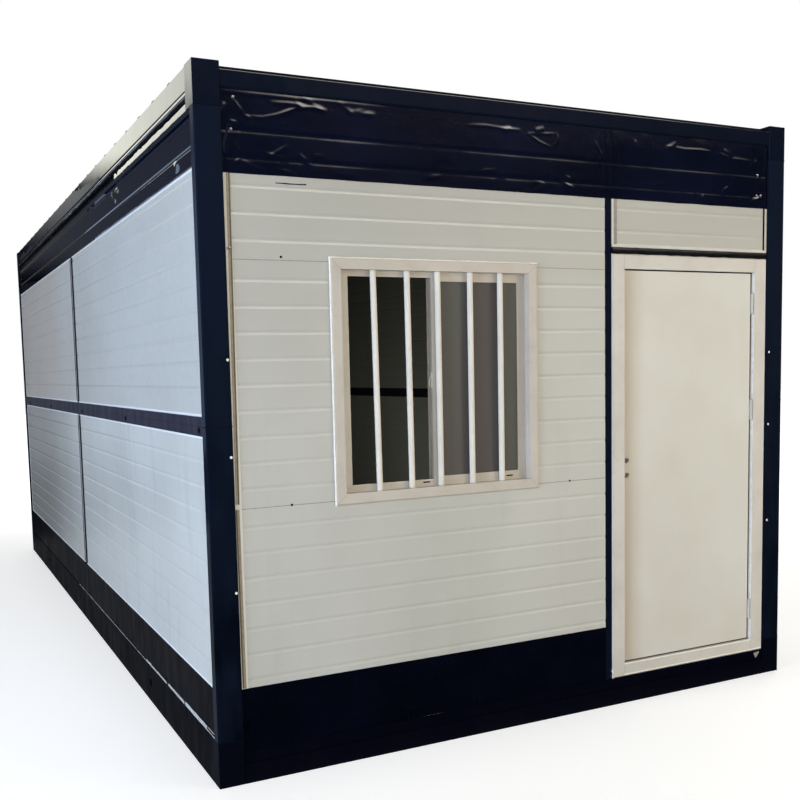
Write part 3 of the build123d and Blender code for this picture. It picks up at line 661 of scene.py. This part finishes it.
# Painted shade of the edge channels' recess as brown and darker strips, and the transom panel's seams
header_hem_z = film_high.z - header_band
upper_recess_shade_z, lower_recess_shade_z = lower_joint_z + mm(20), mm(380)
recess_shade_proud = mm(0.4)
recess_shades = bmesh.new()
deep_recess_shades = bmesh.new()
seals = bmesh.new()
gaps = bmesh.new()
seal_x, gap_x = transom_panel_low.x + mm(18), transom_panel_high.x - mm(20)
for shape, foot_x, head_x, width, low_z, high_z, proud in (
        (recess_shades, -1.3835, -1.3745, mm(15), upper_recess_shade_z, header_hem_z, recess_shade_proud),
        (deep_recess_shades, -1.3790, -1.3700, mm(6), upper_recess_shade_z, header_hem_z, 2 * recess_shade_proud),
        (recess_shades, -1.3820, -1.3840, mm(14), lower_recess_shade_z, lower_joint_z, recess_shade_proud),
        (deep_recess_shades, -1.3870, -1.3895, mm(6), lower_recess_shade_z, lower_joint_z, 2 * recess_shade_proud),
        (seals, seal_x, seal_x, mm(18), transom_panel_low.z, header_hem_z, recess_shade_proud),
        (gaps, gap_x, gap_x, mm(12), transom_panel_low.z, header_hem_z, recess_shade_proud)):
    strip(shape, (foot_x, channel_low.y, low_z), (head_x, channel_low.y, high_z), out_front, width, proud)
keep_piece("edge_recess_shades", recess_shades, recess_shade)
keep_piece("edge_deep_recess_shades", deep_recess_shades, deep_recess_shade)
keep_piece("transom_seal", seals, joint_rubber)
keep_piece("transom_gap", gaps, dark_seams_and_painted_shade)

# White edge channels round the panels of the side walls, and dark seals beside the middle stiles
upright_channel, stile_seal, level_channel = mm(24), mm(14), mm(10)
channel_proud = mm(1.4)
edge_channels = bmesh.new()
stile_seals = bmesh.new()
for out, face in ((out_left, upper_panel_low.x), (out_right, -upper_panel_low.x)):
    for start_y, end_y in ((upper_panel_low.y, stile_low.y), (stile_high.y, upper_panel_high.y)):
        for low_z, high_z in ((lower_panel_low.z, lower_panel_high.z), (upper_panel_low.z, side_film_low.z)):
            for edge_z in (low_z + level_channel / 2, high_z - level_channel / 2):
                strip(edge_channels, (face, start_y, edge_z), (face, end_y, edge_z), out, level_channel,
                      channel_proud)
            for edge_y, inward in ((start_y, 1), (end_y, -1)):
                beside_stile = edge_y in (stile_low.y, stile_high.y)
                shape = stile_seals if beside_stile else edge_channels
                width = stile_seal if beside_stile else upright_channel
                channel_y = edge_y + inward * width / 2
                strip(shape, (face, channel_y, low_z + level_channel),
                      (face, channel_y, high_z - level_channel), out, width, channel_proud)
keep_piece("panel_edge_channels", edge_channels, side_channel)
keep_piece("stile_seals", stile_seals, dark_seams_and_painted_shade)

# Folded lower edge of the transom panel, which laps over the rail
hem_height, hem_proud, hem_lap = mm(15), mm(5), mm(12)
hem_z = transom_panel_low.z - hem_lap + hem_height / 2
transom_hem = bmesh.new()
strip(transom_hem, (transom_panel_low.x, transom_low.y, hem_z), (transom_panel_high.x, transom_low.y, hem_z),
      out_front, hem_height, hem_proud)
keep_piece("transom_hem", transom_hem, white_channel)

# Bolts through the mid rails and along the base
rail_bolt_places = (-2.885, -1.515, -0.177, 1.252, 2.598)
base_bolt_places = (-2.156, -1.384, -1.03, -0.097, 0.9, 1.9, 2.7)
rail_bolt_z, base_bolt_z = fold_z - mm(14), bottom_rail_low.z + mm(20)
rail_bolt_radius, base_bolt_radius = mm(9), mm(8)
bolts = bmesh.new()
for out, rail_x, base_x in ((out_left, mid_rail_low.x, bottom_rail_low.x),
                            (out_right, -mid_rail_low.x, -bottom_rail_low.x)):
    for bolt_y in rail_bolt_places:
        bolt(bolts, (rail_x, bolt_y, rail_bolt_z), out, rail_bolt_radius)
    for bolt_y in base_bolt_places:
        bolt(bolts, (base_x, bolt_y, base_bolt_z), out, base_bolt_radius)
keep_piece("rail_bolts", bolts, dark_bolt_steel, smooth_angle=30)

# Countersunk screws in the faces of the posts, drawn white as a painted glint
post_screw_heights = {-1.405: (1.657, 1.288, 0.763), 1.41: (1.648, 1.286, 0.797)}
post_screw_radius = mm(5.5)
post_screws = bmesh.new()
for screw_x, heights in post_screw_heights.items():
    for screw_z in heights:
        flush_screw(post_screws, (screw_x, -half_length, screw_z), out_front, post_screw_radius)
        flush_screw(post_screws, (screw_x, half_length, screw_z), out_back, post_screw_radius)
keep_piece("post_screws", post_screws, white_tabs_and_painted_highlights, smooth_angle=40)

# Seams of the posts: against the corner blocks and at the fold
seam_width = mm(3)
seam_proud = mm(0.05)
post_depth = mm(55)
post_seams = bmesh.new()
for side in (-1, 1):
    for end in (-1, 1):
        for seam_z in (base_high.z, fold_z, block_low.z):
            inner_x = side * (half_width - post_width)
            outer_x = side * half_width
            end_y = end * half_length
            strip(post_seams, (inner_x, end_y, seam_z), (outer_x, end_y, seam_z), out_back * end, seam_width,
                  seam_proud)
            strip(post_seams, (outer_x, end_y, seam_z), (outer_x, end_y - end * post_depth, seam_z),
                  out_right * side, seam_width, seam_proud)
keep_piece("post_seams", post_seams, dark_seams_and_painted_shade)

# Rivets that hold the films and the panels
film_rivet_places = {
    2.627: (-1.346,), 2.51: (-1.357, 1.325), 2.412: (1.320, 1.347), 2.074: (-1.380,),
}
skirt_rivet_z = 0.136
skirt_rivet_places = (-1.0, -0.669, -0.314, 0.006, 0.284)
panel_screw_places = {2.047: (-1.174,), 1.085: (-1.161, 0.186)}
rivet_lift = mm(3)
rivet_radius, panel_screw_radius = mm(5), mm(4)
rivets = bmesh.new()
for rivet_z, places in film_rivet_places.items():
    for rivet_x in places:
        screw(rivets, (rivet_x, film_low.y - rivet_lift, rivet_z), out_front, rivet_radius)
keep_piece("film_rivets", rivets, bright_zinc, smooth_angle=40)
dark_rivets = bmesh.new()
for rivet_z, places in panel_screw_places.items():
    for rivet_x in places:
        screw(dark_rivets, (rivet_x, panel_face_y, rivet_z), out_front, panel_screw_radius)
for rivet_x in skirt_rivet_places:
    screw(dark_rivets, (rivet_x, film_low.y - rivet_lift, skirt_rivet_z), out_front, rivet_radius)
keep_piece("dark_rivets", dark_rivets, dark_bolt_steel, smooth_angle=40)

# Dark films smoothed on by hand
film_base = mm(1.2)
film_least, film_most = mm(0.4), mm(7)
film_hem, film_wave, film_ruck = mm(1.6), mm(1.1), mm(0.3)
film_gap = mm(0.1)
hem_wave_size = mm(110)
# Waves and rucks of the films for each metre along and up
waves_along, waves_up = 4, 9
rucks_along, rucks_up = 16, 26


def crease(width, rise, *line):
    """A crease along a line of places on a film: the line, its width and height, and the box it lifts."""
    reach = 3 * width
    runs, heights = zip(*line)
    box = (min(runs) - reach, max(runs) + reach, min(heights) - reach, max(heights) + reach)
    return line, width, rise, box


def lift(run, height, creases):
    """How far the creases lift the film at a place along and up the wall; each dies out towards its ends."""
    total = 0.0
    for line, width, rise, (start, end, low, high) in creases:
        if start < run < end and low < height < high:
            nearest, along = high - low + end - start, 0.0
            for place, ((first_run, first_height), (next_run, next_height)) in enumerate(zip(line, line[1:])):
                step_run, step_height = next_run - first_run, next_height - first_height
                share = ((run - first_run) * step_run + (height - first_height) * step_height) / (
                    step_run ** 2 + step_height ** 2)
                share = min(max(share, 0.0), 1.0)
                away = math.hypot(run - first_run - share * step_run,
                                  height - first_height - share * step_height)
                if away < nearest:
                    nearest, along = away, (place + share) / (len(line) - 1)
            total += rise * math.sqrt(max(math.sin(math.pi * along), 0.0)) * math.exp(-(nearest / width) ** 2)
    return total


def small_creases(seed, count, start, end, low, high):
    """Short shallow creases strewn over a film, most of them near its upper and lower edges."""
    dice = random.Random(seed)
    creases = []
    for _ in range(count):
        run = dice.uniform(start, end)
        edge = dice.choice((low, high))
        height = edge + (dice.uniform(0.05, 0.3) if edge == low else -dice.uniform(0.05, 0.3)) * (high - low)
        angle = dice.uniform(-0.7, 0.7)
        reach = mm(dice.uniform(15, 60))
        step_run, step_height = reach * math.cos(angle), reach * math.sin(angle)
        width = mm(dice.uniform(6, 12))
        rise = width * dice.uniform(0.1, 0.22)
        middle = (run, height + mm(dice.uniform(-4, 4)))
        creases.append(crease(width, rise, (run - step_run, height - step_height), middle,
                              (run + step_run, height + step_height)))
    return creases


def film(name, node, along, out, span, heights, support, creases, finish, seed, grid, waves=1.0):
    """A film on a wall: it follows what lies behind it, waves a little and lifts in its creases."""
    start, end = span
    low, high = heights
    shape = bmesh.new()
    backs = {}

    def outer(across, up):
        run = start + (end - start) * across
        hem = film_hem * waves * waver(run, seed, hem_wave_size) * (1 - up)
        height = low + (high - low) * up + hem
        wave = film_wave * waves * noise.noise(Vector((run * waves_along, seed, height * waves_up)))
        ruck = film_ruck * waves * noise.noise(Vector((run * rucks_along, seed + 5, height * rucks_up)))
        proud = min(max(film_base + wave + ruck + lift(run, height, creases), film_least), film_most)
        back = support(run, height)
        foot = along * run + upward * height
        backs[across, up] = foot + out * (back + film_gap)
        return foot + out * (back + proud)

    sheet(shape, round((end - start) / grid[0]), round((high - low) / grid[1]), outer,
          lambda across, up: backs[across, up])
    piece = keep_piece(name, shape, finish, smooth_angle=80)
    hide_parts(node)


groove_heights_front = (2.409, 2.509)
groove_heights_skirt = (0.209, 0.309)
groove_sag = mm(2.0)


def sagged(height, grooves, share, reach=mm(8)):
    """How deep the film is pressed into the panel's grooves at a height."""
    return sum(groove_sag * share * math.exp(-((height - groove) / reach) ** 2) for groove in grooves)


panel_out = -panel_face_y
web_out = -beam_low.y - mm(14)
header_low_z = top_panel_high.z - header_band
header_high_z = beam_high.z - mm(93)
bridge_low_z = top_panel_high.z
web_clearance = mm(4.5)
ridge_rise, ridge_reach = mm(2.2), mm(5)
press_wave_size = mm(350)


def header_support(run, height):
    """What the header film bridges: the panels, their grooves, the beam's web and the mullion's edges."""
    bridge = min(max((height - bridge_low_z) / (header_high_z - bridge_low_z), 0.0), 1.0)
    face = panel_out + (web_out + web_clearance - panel_out) * bridge
    pressed = sagged(height, groove_heights_front, 0.6 + 0.4 * waver(run, 3, press_wave_size))
    edges = sum(ridge_rise * math.exp(-((run - edge) / ridge_reach) ** 2)
                for edge in (mullion_low.x, mullion_high.x))
    return face - pressed + edges


# Each crease of the header film: its width and rise in millimetres, then the places that it runs through
header_creases = [crease(mm(width), mm(rise), *line) for width, rise, *line in (
    (5, 1.2, (-1.39, 2.645), (-1.1, 2.646), (-0.7, 2.646)),
    (5, 1.3, (-1.346, 2.622), (-1.3, 2.564)),
    (6, 1.7, (-1.31, 2.562), (-1.23, 2.562), (-1.167, 2.578), (-1.1, 2.606), (-1.03, 2.616),
     (-0.98, 2.612)),
    (7, 1.5, (-1.2, 2.622), (-1.12, 2.624), (-1.04, 2.618), (-0.96, 2.61)),
    (5, 1.5, (-1.3, 2.566), (-1.276, 2.55), (-1.28, 2.525)),
    (6, 1.7, (-1.378, 2.606), (-1.388, 2.565)),
    (5, 1.6, (-1.362, 2.54), (-1.33, 2.536)),
    (7, 2.2, (-1.362, 2.53), (-1.366, 2.5), (-1.38, 2.455), (-1.378, 2.39)),
    (5, 1.4, (-1.32, 2.515), (-1.338, 2.45), (-1.325, 2.43)),
    (5, 1.5, (-1.325, 2.41), (-1.355, 2.37)),
    (6, 1.3, (-0.34, 2.61), (-0.24, 2.616), (-0.15, 2.612), (-0.06, 2.608)),
    (5, 1.3, (-0.03, 2.602), (0.03, 2.572), (0.101, 2.549)),
    (5, 1.3, (0.101, 2.549), (0.128, 2.58), (0.13, 2.612)),
    (5, 1.1, (-0.03, 2.602), (0.05, 2.606), (0.13, 2.612)),
    (6, 1.2, (0.33, 2.6), (0.37, 2.54), (0.35, 2.49)),
    (5, 1.3, (0.56, 2.62), (0.575, 2.57)),
    (6, 1.4, (0.74, 2.607), (0.86, 2.6), (0.96, 2.604), (1.03, 2.6)),
    (6, 1.4, (1.06, 2.6), (1.17, 2.578), (1.27, 2.574), (1.31, 2.566)),
    (6, 1.5, (1.335, 2.53), (1.33, 2.46), (1.325, 2.41)),
    (7, 1.9, (1.385, 2.64), (1.378, 2.5), (1.384, 2.37)),
)]
header_span = (wall_left_x, -wall_left_x)
film("header_film", "front_film_bands", out_right, out_front, header_span, (header_low_z, header_high_z),
     header_support, header_creases + small_creases(11, 34, *header_span, header_low_z, header_high_z),
     header_film_finish, 1, grid=(mm(4), mm(5)))

skirt_low_z = sill_high.z
skirt_high_z = sill_high.z + mm(253)
skirt_span = (wall_left_x, mullion_low.x)
film("skirt_film", "front_film_bands", out_right, out_front, skirt_span, (skirt_low_z, skirt_high_z),
     lambda run, height: panel_out - sagged(height, groove_heights_skirt, 0.25),
     small_creases(23, 14, *skirt_span, skirt_low_z, skirt_high_z), skirt_film_finish, 2, grid=(mm(8), mm(6)))
film("back_header_film", "back_film_bands", out_left, out_back, header_span, (header_low_z, top_panel_high.z),
     lambda run, height: panel_out - sagged(height, groove_heights_front, 0.8),
     small_creases(31, 30, *header_span, header_low_z, top_panel_high.z), header_film_finish, 3,
     grid=(mm(10), mm(6)))
film("back_skirt_film", "back_film_bands", out_left, out_back, header_span, (skirt_low_z, skirt_high_z),
     lambda run, height: panel_out - sagged(height, groove_heights_skirt, 0.25),
     small_creases(37, 18, *header_span, skirt_low_z, skirt_high_z), skirt_film_finish, 4,
     grid=(mm(10), mm(6)))

side_out = -side_film_low.x - mm(1)
side_film_groove = side_film_high.z - mm(96)
side_span = (side_film_low.y, side_film_high.y)
side_heights = (side_film_low.z, side_film_high.z)
for name, node, along, out, seed in (("left_side_film", "left_header_film", out_front, out_left, 5),
                                     ("right_side_film", "right_header_film", out_back, out_right, 6)):
    film(name, node, along, out, side_span, side_heights,
         lambda run, height: side_out - sagged(height, (side_film_groove,), 0.4, mm(4)),
         small_creases(40 + seed, 6, *side_span, *side_heights), side_film_finish, seed,
         grid=(mm(20), mm(6)), waves=0.03)

# Hand-drawn beads of mastic, sealant and loose film
bead_step, bead_rows, bead_root = mm(10), 8, mm(0.5)
foot_wave_size, head_wave_size, swell_wave_size = mm(50), mm(60), mm(80)


def bead(shape, along, out, span, heights, support, proud, wobble, seed, lean=0.0, rise=upward):
    """Add a hand-drawn bead: rounded across, with edges that wander; lean is how far its foot stands out."""
    start, end = span
    low, high = heights

    def outer(across, up):
        run = start + (end - start) * across
        edge = wobble * (waver(run, seed, foot_wave_size) * (1 - up)
                         + waver(run, seed + 1, head_wave_size) * up)
        swell = (1 - (2 * up - 1) ** 4) * (1 + 0.3 * waver(run, seed + 2, swell_wave_size))
        stand = support + proud * swell + lean * (1 - up)
        return along * run + out * stand + rise * (low + (high - low) * up + edge)

    def inner(across, up):
        point = outer(across, up)
        return point + out * (support - bead_root - point.dot(out))

    sheet(shape, round((end - start) / bead_step), bead_rows, outer, inner)


# Black mastic over the door's transom rail
mastic = bmesh.new()
bead(mastic, out_right, out_front, (transom_low.x + mm(2), transom_high.x - mm(1)),
     (transom_low.z - mm(3), transom_high.z - mm(11)), -transom_low.y, proud=mm(8), wobble=mm(5), seed=9)
keep_piece("transom_mastic", mastic, black_mastic, smooth_angle=60)

# White beads over the bevelled outer edge of the window frame, at its head and its left jamb: painted
# highlights
edge_out = -flange_low.y - flange_bevel
window_edge_highlight = bmesh.new()
for along, span, rise, edge, seed in (
        (out_right, (flange_low.x, flange_high.x), upward, flange_high.z, 60),
        (upward, (flange_low.z, flange_high.z), out_left, -flange_low.x, 63)):
    bead(window_edge_highlight, along, out_front, span, (edge - mm(6), edge + mm(1)), edge_out, proud=mm(6),
         wobble=mm(1), seed=seed, rise=rise)
keep_piece("window_edge_highlight_bead", window_edge_highlight, white_tabs_and_painted_highlights, smooth_angle=60)

# Dark strips in the leaf's gaps: painted shade; white strip on the hinge jamb between the hinges: painted
# light
gap_shade_y = leaf_low.y + mm(8)
hinge_heights = (0.347, 1.362, 1.888)
hinge_reach = mm(52)
level_gap_shade, lock_gap_shade, gap_shade_proud, jamb_light_proud = mm(4.6), mm(3.6), mm(3), mm(1)
lock_gap_shade_x = doorway_left + lock_gap_shade / 2
gap_shade_strips = bmesh.new()
for gap_shade_z in (doorway_high - level_gap_shade / 2, doorway_low + level_gap_shade / 2):
    strip(gap_shade_strips, (doorway_left, gap_shade_y, gap_shade_z), (doorway_right, gap_shade_y, gap_shade_z), out_front, level_gap_shade,
          gap_shade_proud)
strip(gap_shade_strips, (lock_gap_shade_x, gap_shade_y, doorway_low), (lock_gap_shade_x, gap_shade_y, doorway_high), out_front,
      lock_gap_shade, gap_shade_proud)
jamb_light_strips = bmesh.new()
hinge_ends = [hinge + side * hinge_reach for hinge in hinge_heights for side in (-1, 1)]
strip_ends = [doorway_low, *hinge_ends, doorway_high]
for low_z, high_z in zip(strip_ends[::2], strip_ends[1::2]):
    for shape, depth, width in ((jamb_light_strips, mm(-1), mm(20)), (gap_shade_strips, mm(16), mm(12))):
        strip_y = leaf_low.y + depth
        strip(shape, (doorway_right, strip_y, low_z), (doorway_right, strip_y, high_z), out_left, width,
              jamb_light_proud)
keep_piece("leaf_gap_painted_shade", gap_shade_strips, dark_seams_and_painted_shade)
keep_piece("hinge_jamb_painted_light", jamb_light_strips, white_tabs_and_painted_highlights)

# Scrap of the film left on the panel under the header
scrap = bmesh.new()
bead(scrap, out_right, out_front, (-1.186, -1.06), (2.322, 2.327), panel_out, proud=mm(0.4), wobble=mm(3),
     seed=30)
keep_piece("film_scrap", scrap, side_film_finish, smooth_angle=60)

# Painted shade in the side beams' channel, loose film edges over it, and torn sealant on the base seam
channel_out, flange_out = half_width - mm(18), half_width - mm(6)
beam_span = (-half_length + mm(110), half_length - mm(110))
loose_ends = (mm(2935), mm(1520))
# Start and end of each run of base sealant in metres, its foot and head over the seam in millimetres
base_sealant_runs = ((2.76, 2.94, 0, 5), (2.85, 2.93, 15, 19), (2.5, 2.83, -2, 18), (2.2, 2.48, -2, 13),
                     (1.75, 2.17, -2, 9), (-0.3, 1.75, -1, 2))
beam_channel_shade = bmesh.new()
loose_film = bmesh.new()
base_sealant = bmesh.new()
for seed, along, out, front in ((12, out_front, out_left, 1), (15, out_back, out_right, -1)):
    # Dark beads along the beam's channel: painted shade
    bead(beam_channel_shade, along, out, beam_span, (block_low.z + mm(10), block_low.z + mm(34)), channel_out,
         proud=mm(4), wobble=mm(2), seed=seed)
    bead(beam_channel_shade, along, out, beam_span, (block_low.z + mm(31), block_low.z + mm(53)), flange_out,
         proud=mm(4.6), wobble=mm(0.8), seed=seed + 20)
    loose_span = sorted(front * loose_end for loose_end in loose_ends)
    bead(loose_film, along, out, loose_span, (block_low.z - mm(4), block_low.z + mm(30)), flange_out,
         proud=mm(0.8), wobble=mm(4), seed=seed + 3, lean=mm(3))
    bead(loose_film, along, out, loose_span, (block_low.z - mm(25), block_low.z - mm(17)), side_out + mm(1),
         proud=mm(0.3), wobble=mm(1.5), seed=seed + 5, lean=mm(1))
    for start, end, low, high in base_sealant_runs:
        bead(base_sealant, along, out, sorted((front * start, front * end)),
             (base_high.z + mm(low), base_high.z + mm(high)), -bottom_rail_low.x, proud=mm(1.6),
             wobble=mm(3), seed=seed + 7)
keep_piece("side_beam_channel_shade", beam_channel_shade, dark_seams_and_painted_shade, smooth_angle=60)
keep_piece("loose_film_edges", loose_film, side_film_finish, smooth_angle=60)
keep_piece("base_seam_sealant", base_sealant, pale_sealant, smooth_angle=60)

# Folded wedge tab under the door frame and torn ends of its edging
wedge_thickness, fin_thickness = mm(3), mm(2)
wedge = bmesh.new()
wedge_corner = Vector((1.335, door_frame_low.y - wedge_thickness, 0.113))
wedge_points = [wedge_corner + Vector((mm(run), 0, mm(rise)))
                for run, rise in ((0, 0), (38, 4), (34, -6), (14, -26))]
close_rings(wedge, [[wedge.verts.new(point + out_back * depth) for point in wedge_points]
                    for depth in (0, wedge_thickness)])
keep_piece("sill_wedge_tab", wedge, joint_rubber)
fins = bmesh.new()
fin_corner = Vector((door_frame_low.x + mm(1), door_frame_low.y, door_frame_low.z))
for reach, foot, top in ((mm(9), mm(22), mm(48)), (mm(6), mm(2), mm(20)), (mm(3), mm(-16), mm(4))):
    fin = [fin_corner + Vector((0, 0, top)), fin_corner + Vector((-reach, 0, (foot + top) / 2)),
           fin_corner + Vector((mm(2), 0, foot))]
    close_rings(fins, [[fins.verts.new(point + out_back * depth) for point in fin]
                       for depth in (0, fin_thickness)])
keep_piece("frame_edging_tabs", fins, white_tabs_and_painted_highlights)

# Screws with washers in the valleys of the roof sheet
roof_pan_z = roof_low.z + mm(1.5)
rib_pitch = mm(272)
rib_count = 22
valley_offset = mm(52)
roof_screw_rows = 6
roof_screw_radius = mm(8)
roof_screw_inset = mm(60)
roof_screw_run = roof_high.x - roof_low.x - 2 * roof_screw_inset
roof_screws = bmesh.new()
for rib in range(rib_count):
    screw_y = (rib - (rib_count - 1) / 2) * rib_pitch + valley_offset
    for row in range(roof_screw_rows):
        screw_x = roof_low.x + roof_screw_inset + row * roof_screw_run / (roof_screw_rows - 1)
        bolt(roof_screws, (screw_x, screw_y, roof_pan_z), upward, roof_screw_radius)
keep_piece("roof_screws", roof_screws, bright_zinc, smooth_angle=30)


# Lamps, studio cards, floor and camera

def lamp(name, place, target, size, power, colour):
    """A soft rectangular lamp that neither the camera nor a reflection shows."""
    data = bpy.data.lights.new(name, "AREA")
    data.shape = "RECTANGLE"
    data.size, data.size_y = size
    data.energy = power
    data.color = linear(colour)[:3]
    body = bpy.data.objects.new(name, data)
    body.location = place
    body.rotation_euler = (Vector(target) - Vector(place)).to_track_quat("-Z", "Y").to_euler()
    body.visible_camera = False
    body.visible_glossy = False
    scene.collection.objects.link(body)


lamp("left_key_softbox", (-3.4, -9.4, 3.2), (0.0, -3.0, 0.8), (6.0, 3.0), 120, "#fff0d4")
lamp("right_fill_softbox", (5.5, -9.0, 2.0), (0.8, -3.0, 0.9), (3.0, 2.5), 268, "#fff4e0")
lamp("cool_side_softbox", (-8.0, -5.0, 1.6), (-1.5, -1.5, 1.1), (2.5, 2.0), 505, "#cbdfff")
lamp("right_softbox", (8.0, 1.5, 4.5), (1.5, 0, 1.3), (4.0, 3.0), 190, "#ffffff")
lamp("back_softbox", (-1.0, 10.0, 5.0), (0, 3.0, 1.3), (4.5, 3.0), 190, "#ffffff")
lamp("indoor_glow", (0.1, 0.3, 0.5), (1.4, 1.0, 1.2), (1.5, 1.5), 3, "#f4f6ea")

world = bpy.data.worlds.new("studio")
scene.world = world
world.use_nodes = True
ray = add(world, "LightPath")
seen = add(world, "Math", {0: ray["Is Camera Ray"], 1: ray["Is Glossy Ray"]}, operation="MAXIMUM")["Value"]
seen_through = add(world, "Math", {0: seen, 1: ray["Is Transmission Ray"]}, operation="MAXIMUM")["Value"]
ambient = 0.32
strength = add(world, "MapRange", {"Value": seen_through, "To Min": ambient, "To Max": 1.0})["Result"]
fill(world, world.node_tree.nodes["Background"], {"Color": linear("#ffffff"), "Strength": strength})


def stage_sheet(name, corners, material):
    """A flat sheet of the studio, which isn't part of the booth."""
    shape = bmesh.new()
    shape.faces.new([shape.verts.new(corner) for corner in corners])
    mesh = bpy.data.meshes.new(name)
    shape.to_mesh(mesh)
    shape.free()
    mesh.materials.append(material)
    body = bpy.data.objects.new(name, mesh)
    scene.collection.objects.link(body)
    return body


def card(name, corners, colour, glow, fade_height=mm(1)):
    """A studio card for gloss to mirror; it glows from nothing at its foot to full at the fade height.

    It lights nothing, throws no shadow and the camera doesn't see it.
    """
    material, _, place = start_material(name)
    height = add(material, "SeparateXYZ", {"Vector": place})["Z"]
    foot = min(corner[2] for corner in corners)
    strength = add(material, "MapRange", {"Value": height, "From Min": foot - mm(1),
                                          "From Max": foot + fade_height, "To Max": glow},
                   interpolation_type="SMOOTHSTEP")["Result"]
    shine = add(material, "Emission", {"Color": linear(colour), "Strength": strength})["Emission"]
    fill(material, material.node_tree.nodes["Material Output"], {"Surface": shine})
    body = stage_sheet(name, corners, material)
    for kind in ("camera", "diffuse", "transmission", "shadow"):
        setattr(body, "visible_" + kind, False)


def upright(start, end, low, high):
    """Corners of an upright card between two points of the plan; low and high may differ at its ends."""
    (low_start, low_end), (high_start, high_end) = low, high
    return [(*start, low_start), (*end, low_end), (*end, high_end), (*start, high_start)]


def level(low_x, low_y, high_x, high_y, z):
    """Corners of a level sheet."""
    return [(low_x, low_y, z), (high_x, low_y, z), (high_x, high_y, z), (low_x, high_y, z)]


room, room_height = 14.5, 16
flag_top = (room_height, room_height)
ground = (0, 0)
flag_colour, flag_glow, mat_glow = "#8d8494", 0.05, 0.06
for name, start, end in (("front_flag", (-room, -room), (room, -room)),
                         ("right_flag", (room, -room), (room, room)),
                         ("back_flag", (room, room), (-room, room)),
                         ("left_flag", (-room, room), (-room, -room))):
    card(name, upright(start, end, ground, flag_top), flag_colour, flag_glow)
card("top_flag", level(-room, -room, room, room, room_height), flag_colour, flag_glow)
card("front_sky_card", upright((0.5, -14.3), (14.4, -14.3), (6.8, 6.8), flag_top), "#fff6ea", 9.0, 6.0)
card("front_blue_card", upright((-9.0, -14.3), (-0.5, -14.3), (2.5, 2.5), (9.0, 9.0)), "#8faede", 0.6, 2.0)
card("front_haze_card", upright((3.4, -14.2), (9.4, -14.2), (4.4, 5.2), (6.2, 7.0)), "#a99cab", 0.2)
mat_lift = mm(2)
mat_x, mat_y = 1.52, 3.02
for name, corners in (("front_mat", (-room, -room, room, -mat_y)),
                      ("far_left_mat", (-room, 3.5, -mat_x, room)),
                      ("right_mat", (mat_x, -mat_y, room, room)),
                      ("back_mat", (-mat_x, mat_y, mat_x, room))):
    card(name, level(*corners, mat_lift), flag_colour, mat_glow)
card("blue_side_card", upright((-9.0, 13.0), (-4.0, 13.0), (0, 0), (8.1, 4.3)), "#bcd2ee", 1.0)
card("bright_side_card", [(-9.0, 13.0, 10.0), (-4.6, 13.0, 5.7), (-3.6, 13.0, 5.15), (-3.6, 13.0, 12.0),
                          (-9.0, 13.0, 15.0)], "#ebecdf", 2.6, 0.9)
card("far_beam_card", upright((-4.8, 13.1), (-2.6, 13.1), (5.85, 3.9), (6.9, 4.9)), "#e4e6e4", 0.42, 1.3)
card("far_film_card", upright((-7.4, 13.2), (-2.6, 13.2), (4.6, 3.4), (8.6, 4.1)), "#c3cbdc", 0.11, 0.8)
card("dim_side_card", upright((-4.0, 13.2), (-2.2, 13.2), (0, 0), (4.3, 2.9)), "#c9b9a6", 0.38)

floor_half = 40.0
floor_material, floor_shader, floor_place = start_material("pale_floor")
floor_ray = add(floor_material, "LightPath")
away = add(floor_material, "VectorMath", {0: floor_place}, operation="LENGTH")["Value"]
glow = add(floor_material, "MapRange",
           {"Value": away, "From Min": 4.0, "From Max": 9.0, "To Min": 0.55, "To Max": 1.0})["Result"]
seen_glow = add(floor_material, "Math", {0: glow, 1: floor_ray["Is Camera Ray"]},
                operation="MULTIPLY")["Value"]
fill(floor_material, floor_shader,
     {"Base Color": linear("#d9d9d7"), "Roughness": 0.9, "Specular IOR Level": 0.0,
      "Emission Color": linear("#ffffff"), "Emission Strength": seen_glow})
stage_sheet("floor", level(-floor_half, -floor_half, floor_half, floor_half, 0), floor_material)

camera_place = Vector((-2.5105, -6.5318, 1.6045))
camera_yaw, camera_pitch, camera_roll = 0.4454, -0.0914, -0.0245
image_size = 800
focal_pixels = 967.8
centre_pixel = (369.3, 459.2)
ahead = Vector((math.sin(camera_yaw) * math.cos(camera_pitch), math.cos(camera_yaw) * math.cos(camera_pitch),
                math.sin(camera_pitch)))
level_right = Vector((math.cos(camera_yaw), -math.sin(camera_yaw), 0))
level_up = level_right.cross(ahead)
camera_right = math.cos(camera_roll) * level_right + math.sin(camera_roll) * level_up
camera_up = camera_right.cross(ahead)
camera_data = bpy.data.cameras.new("photo_camera")
camera_data.sensor_width = 36
camera_data.lens = focal_pixels * camera_data.sensor_width / image_size
camera_data.shift_x = (image_size / 2 - centre_pixel[0]) / image_size
camera_data.shift_y = (centre_pixel[1] - image_size / 2) / image_size
camera = bpy.data.objects.new("photo_camera", camera_data)
camera.matrix_world = Matrix.Translation(camera_place) @ Matrix(
    (camera_right, camera_up, -ahead)).transposed().to_4x4()
scene.collection.objects.link(camera)
scene.camera = camera
scene.view_settings.view_transform = "Standard"
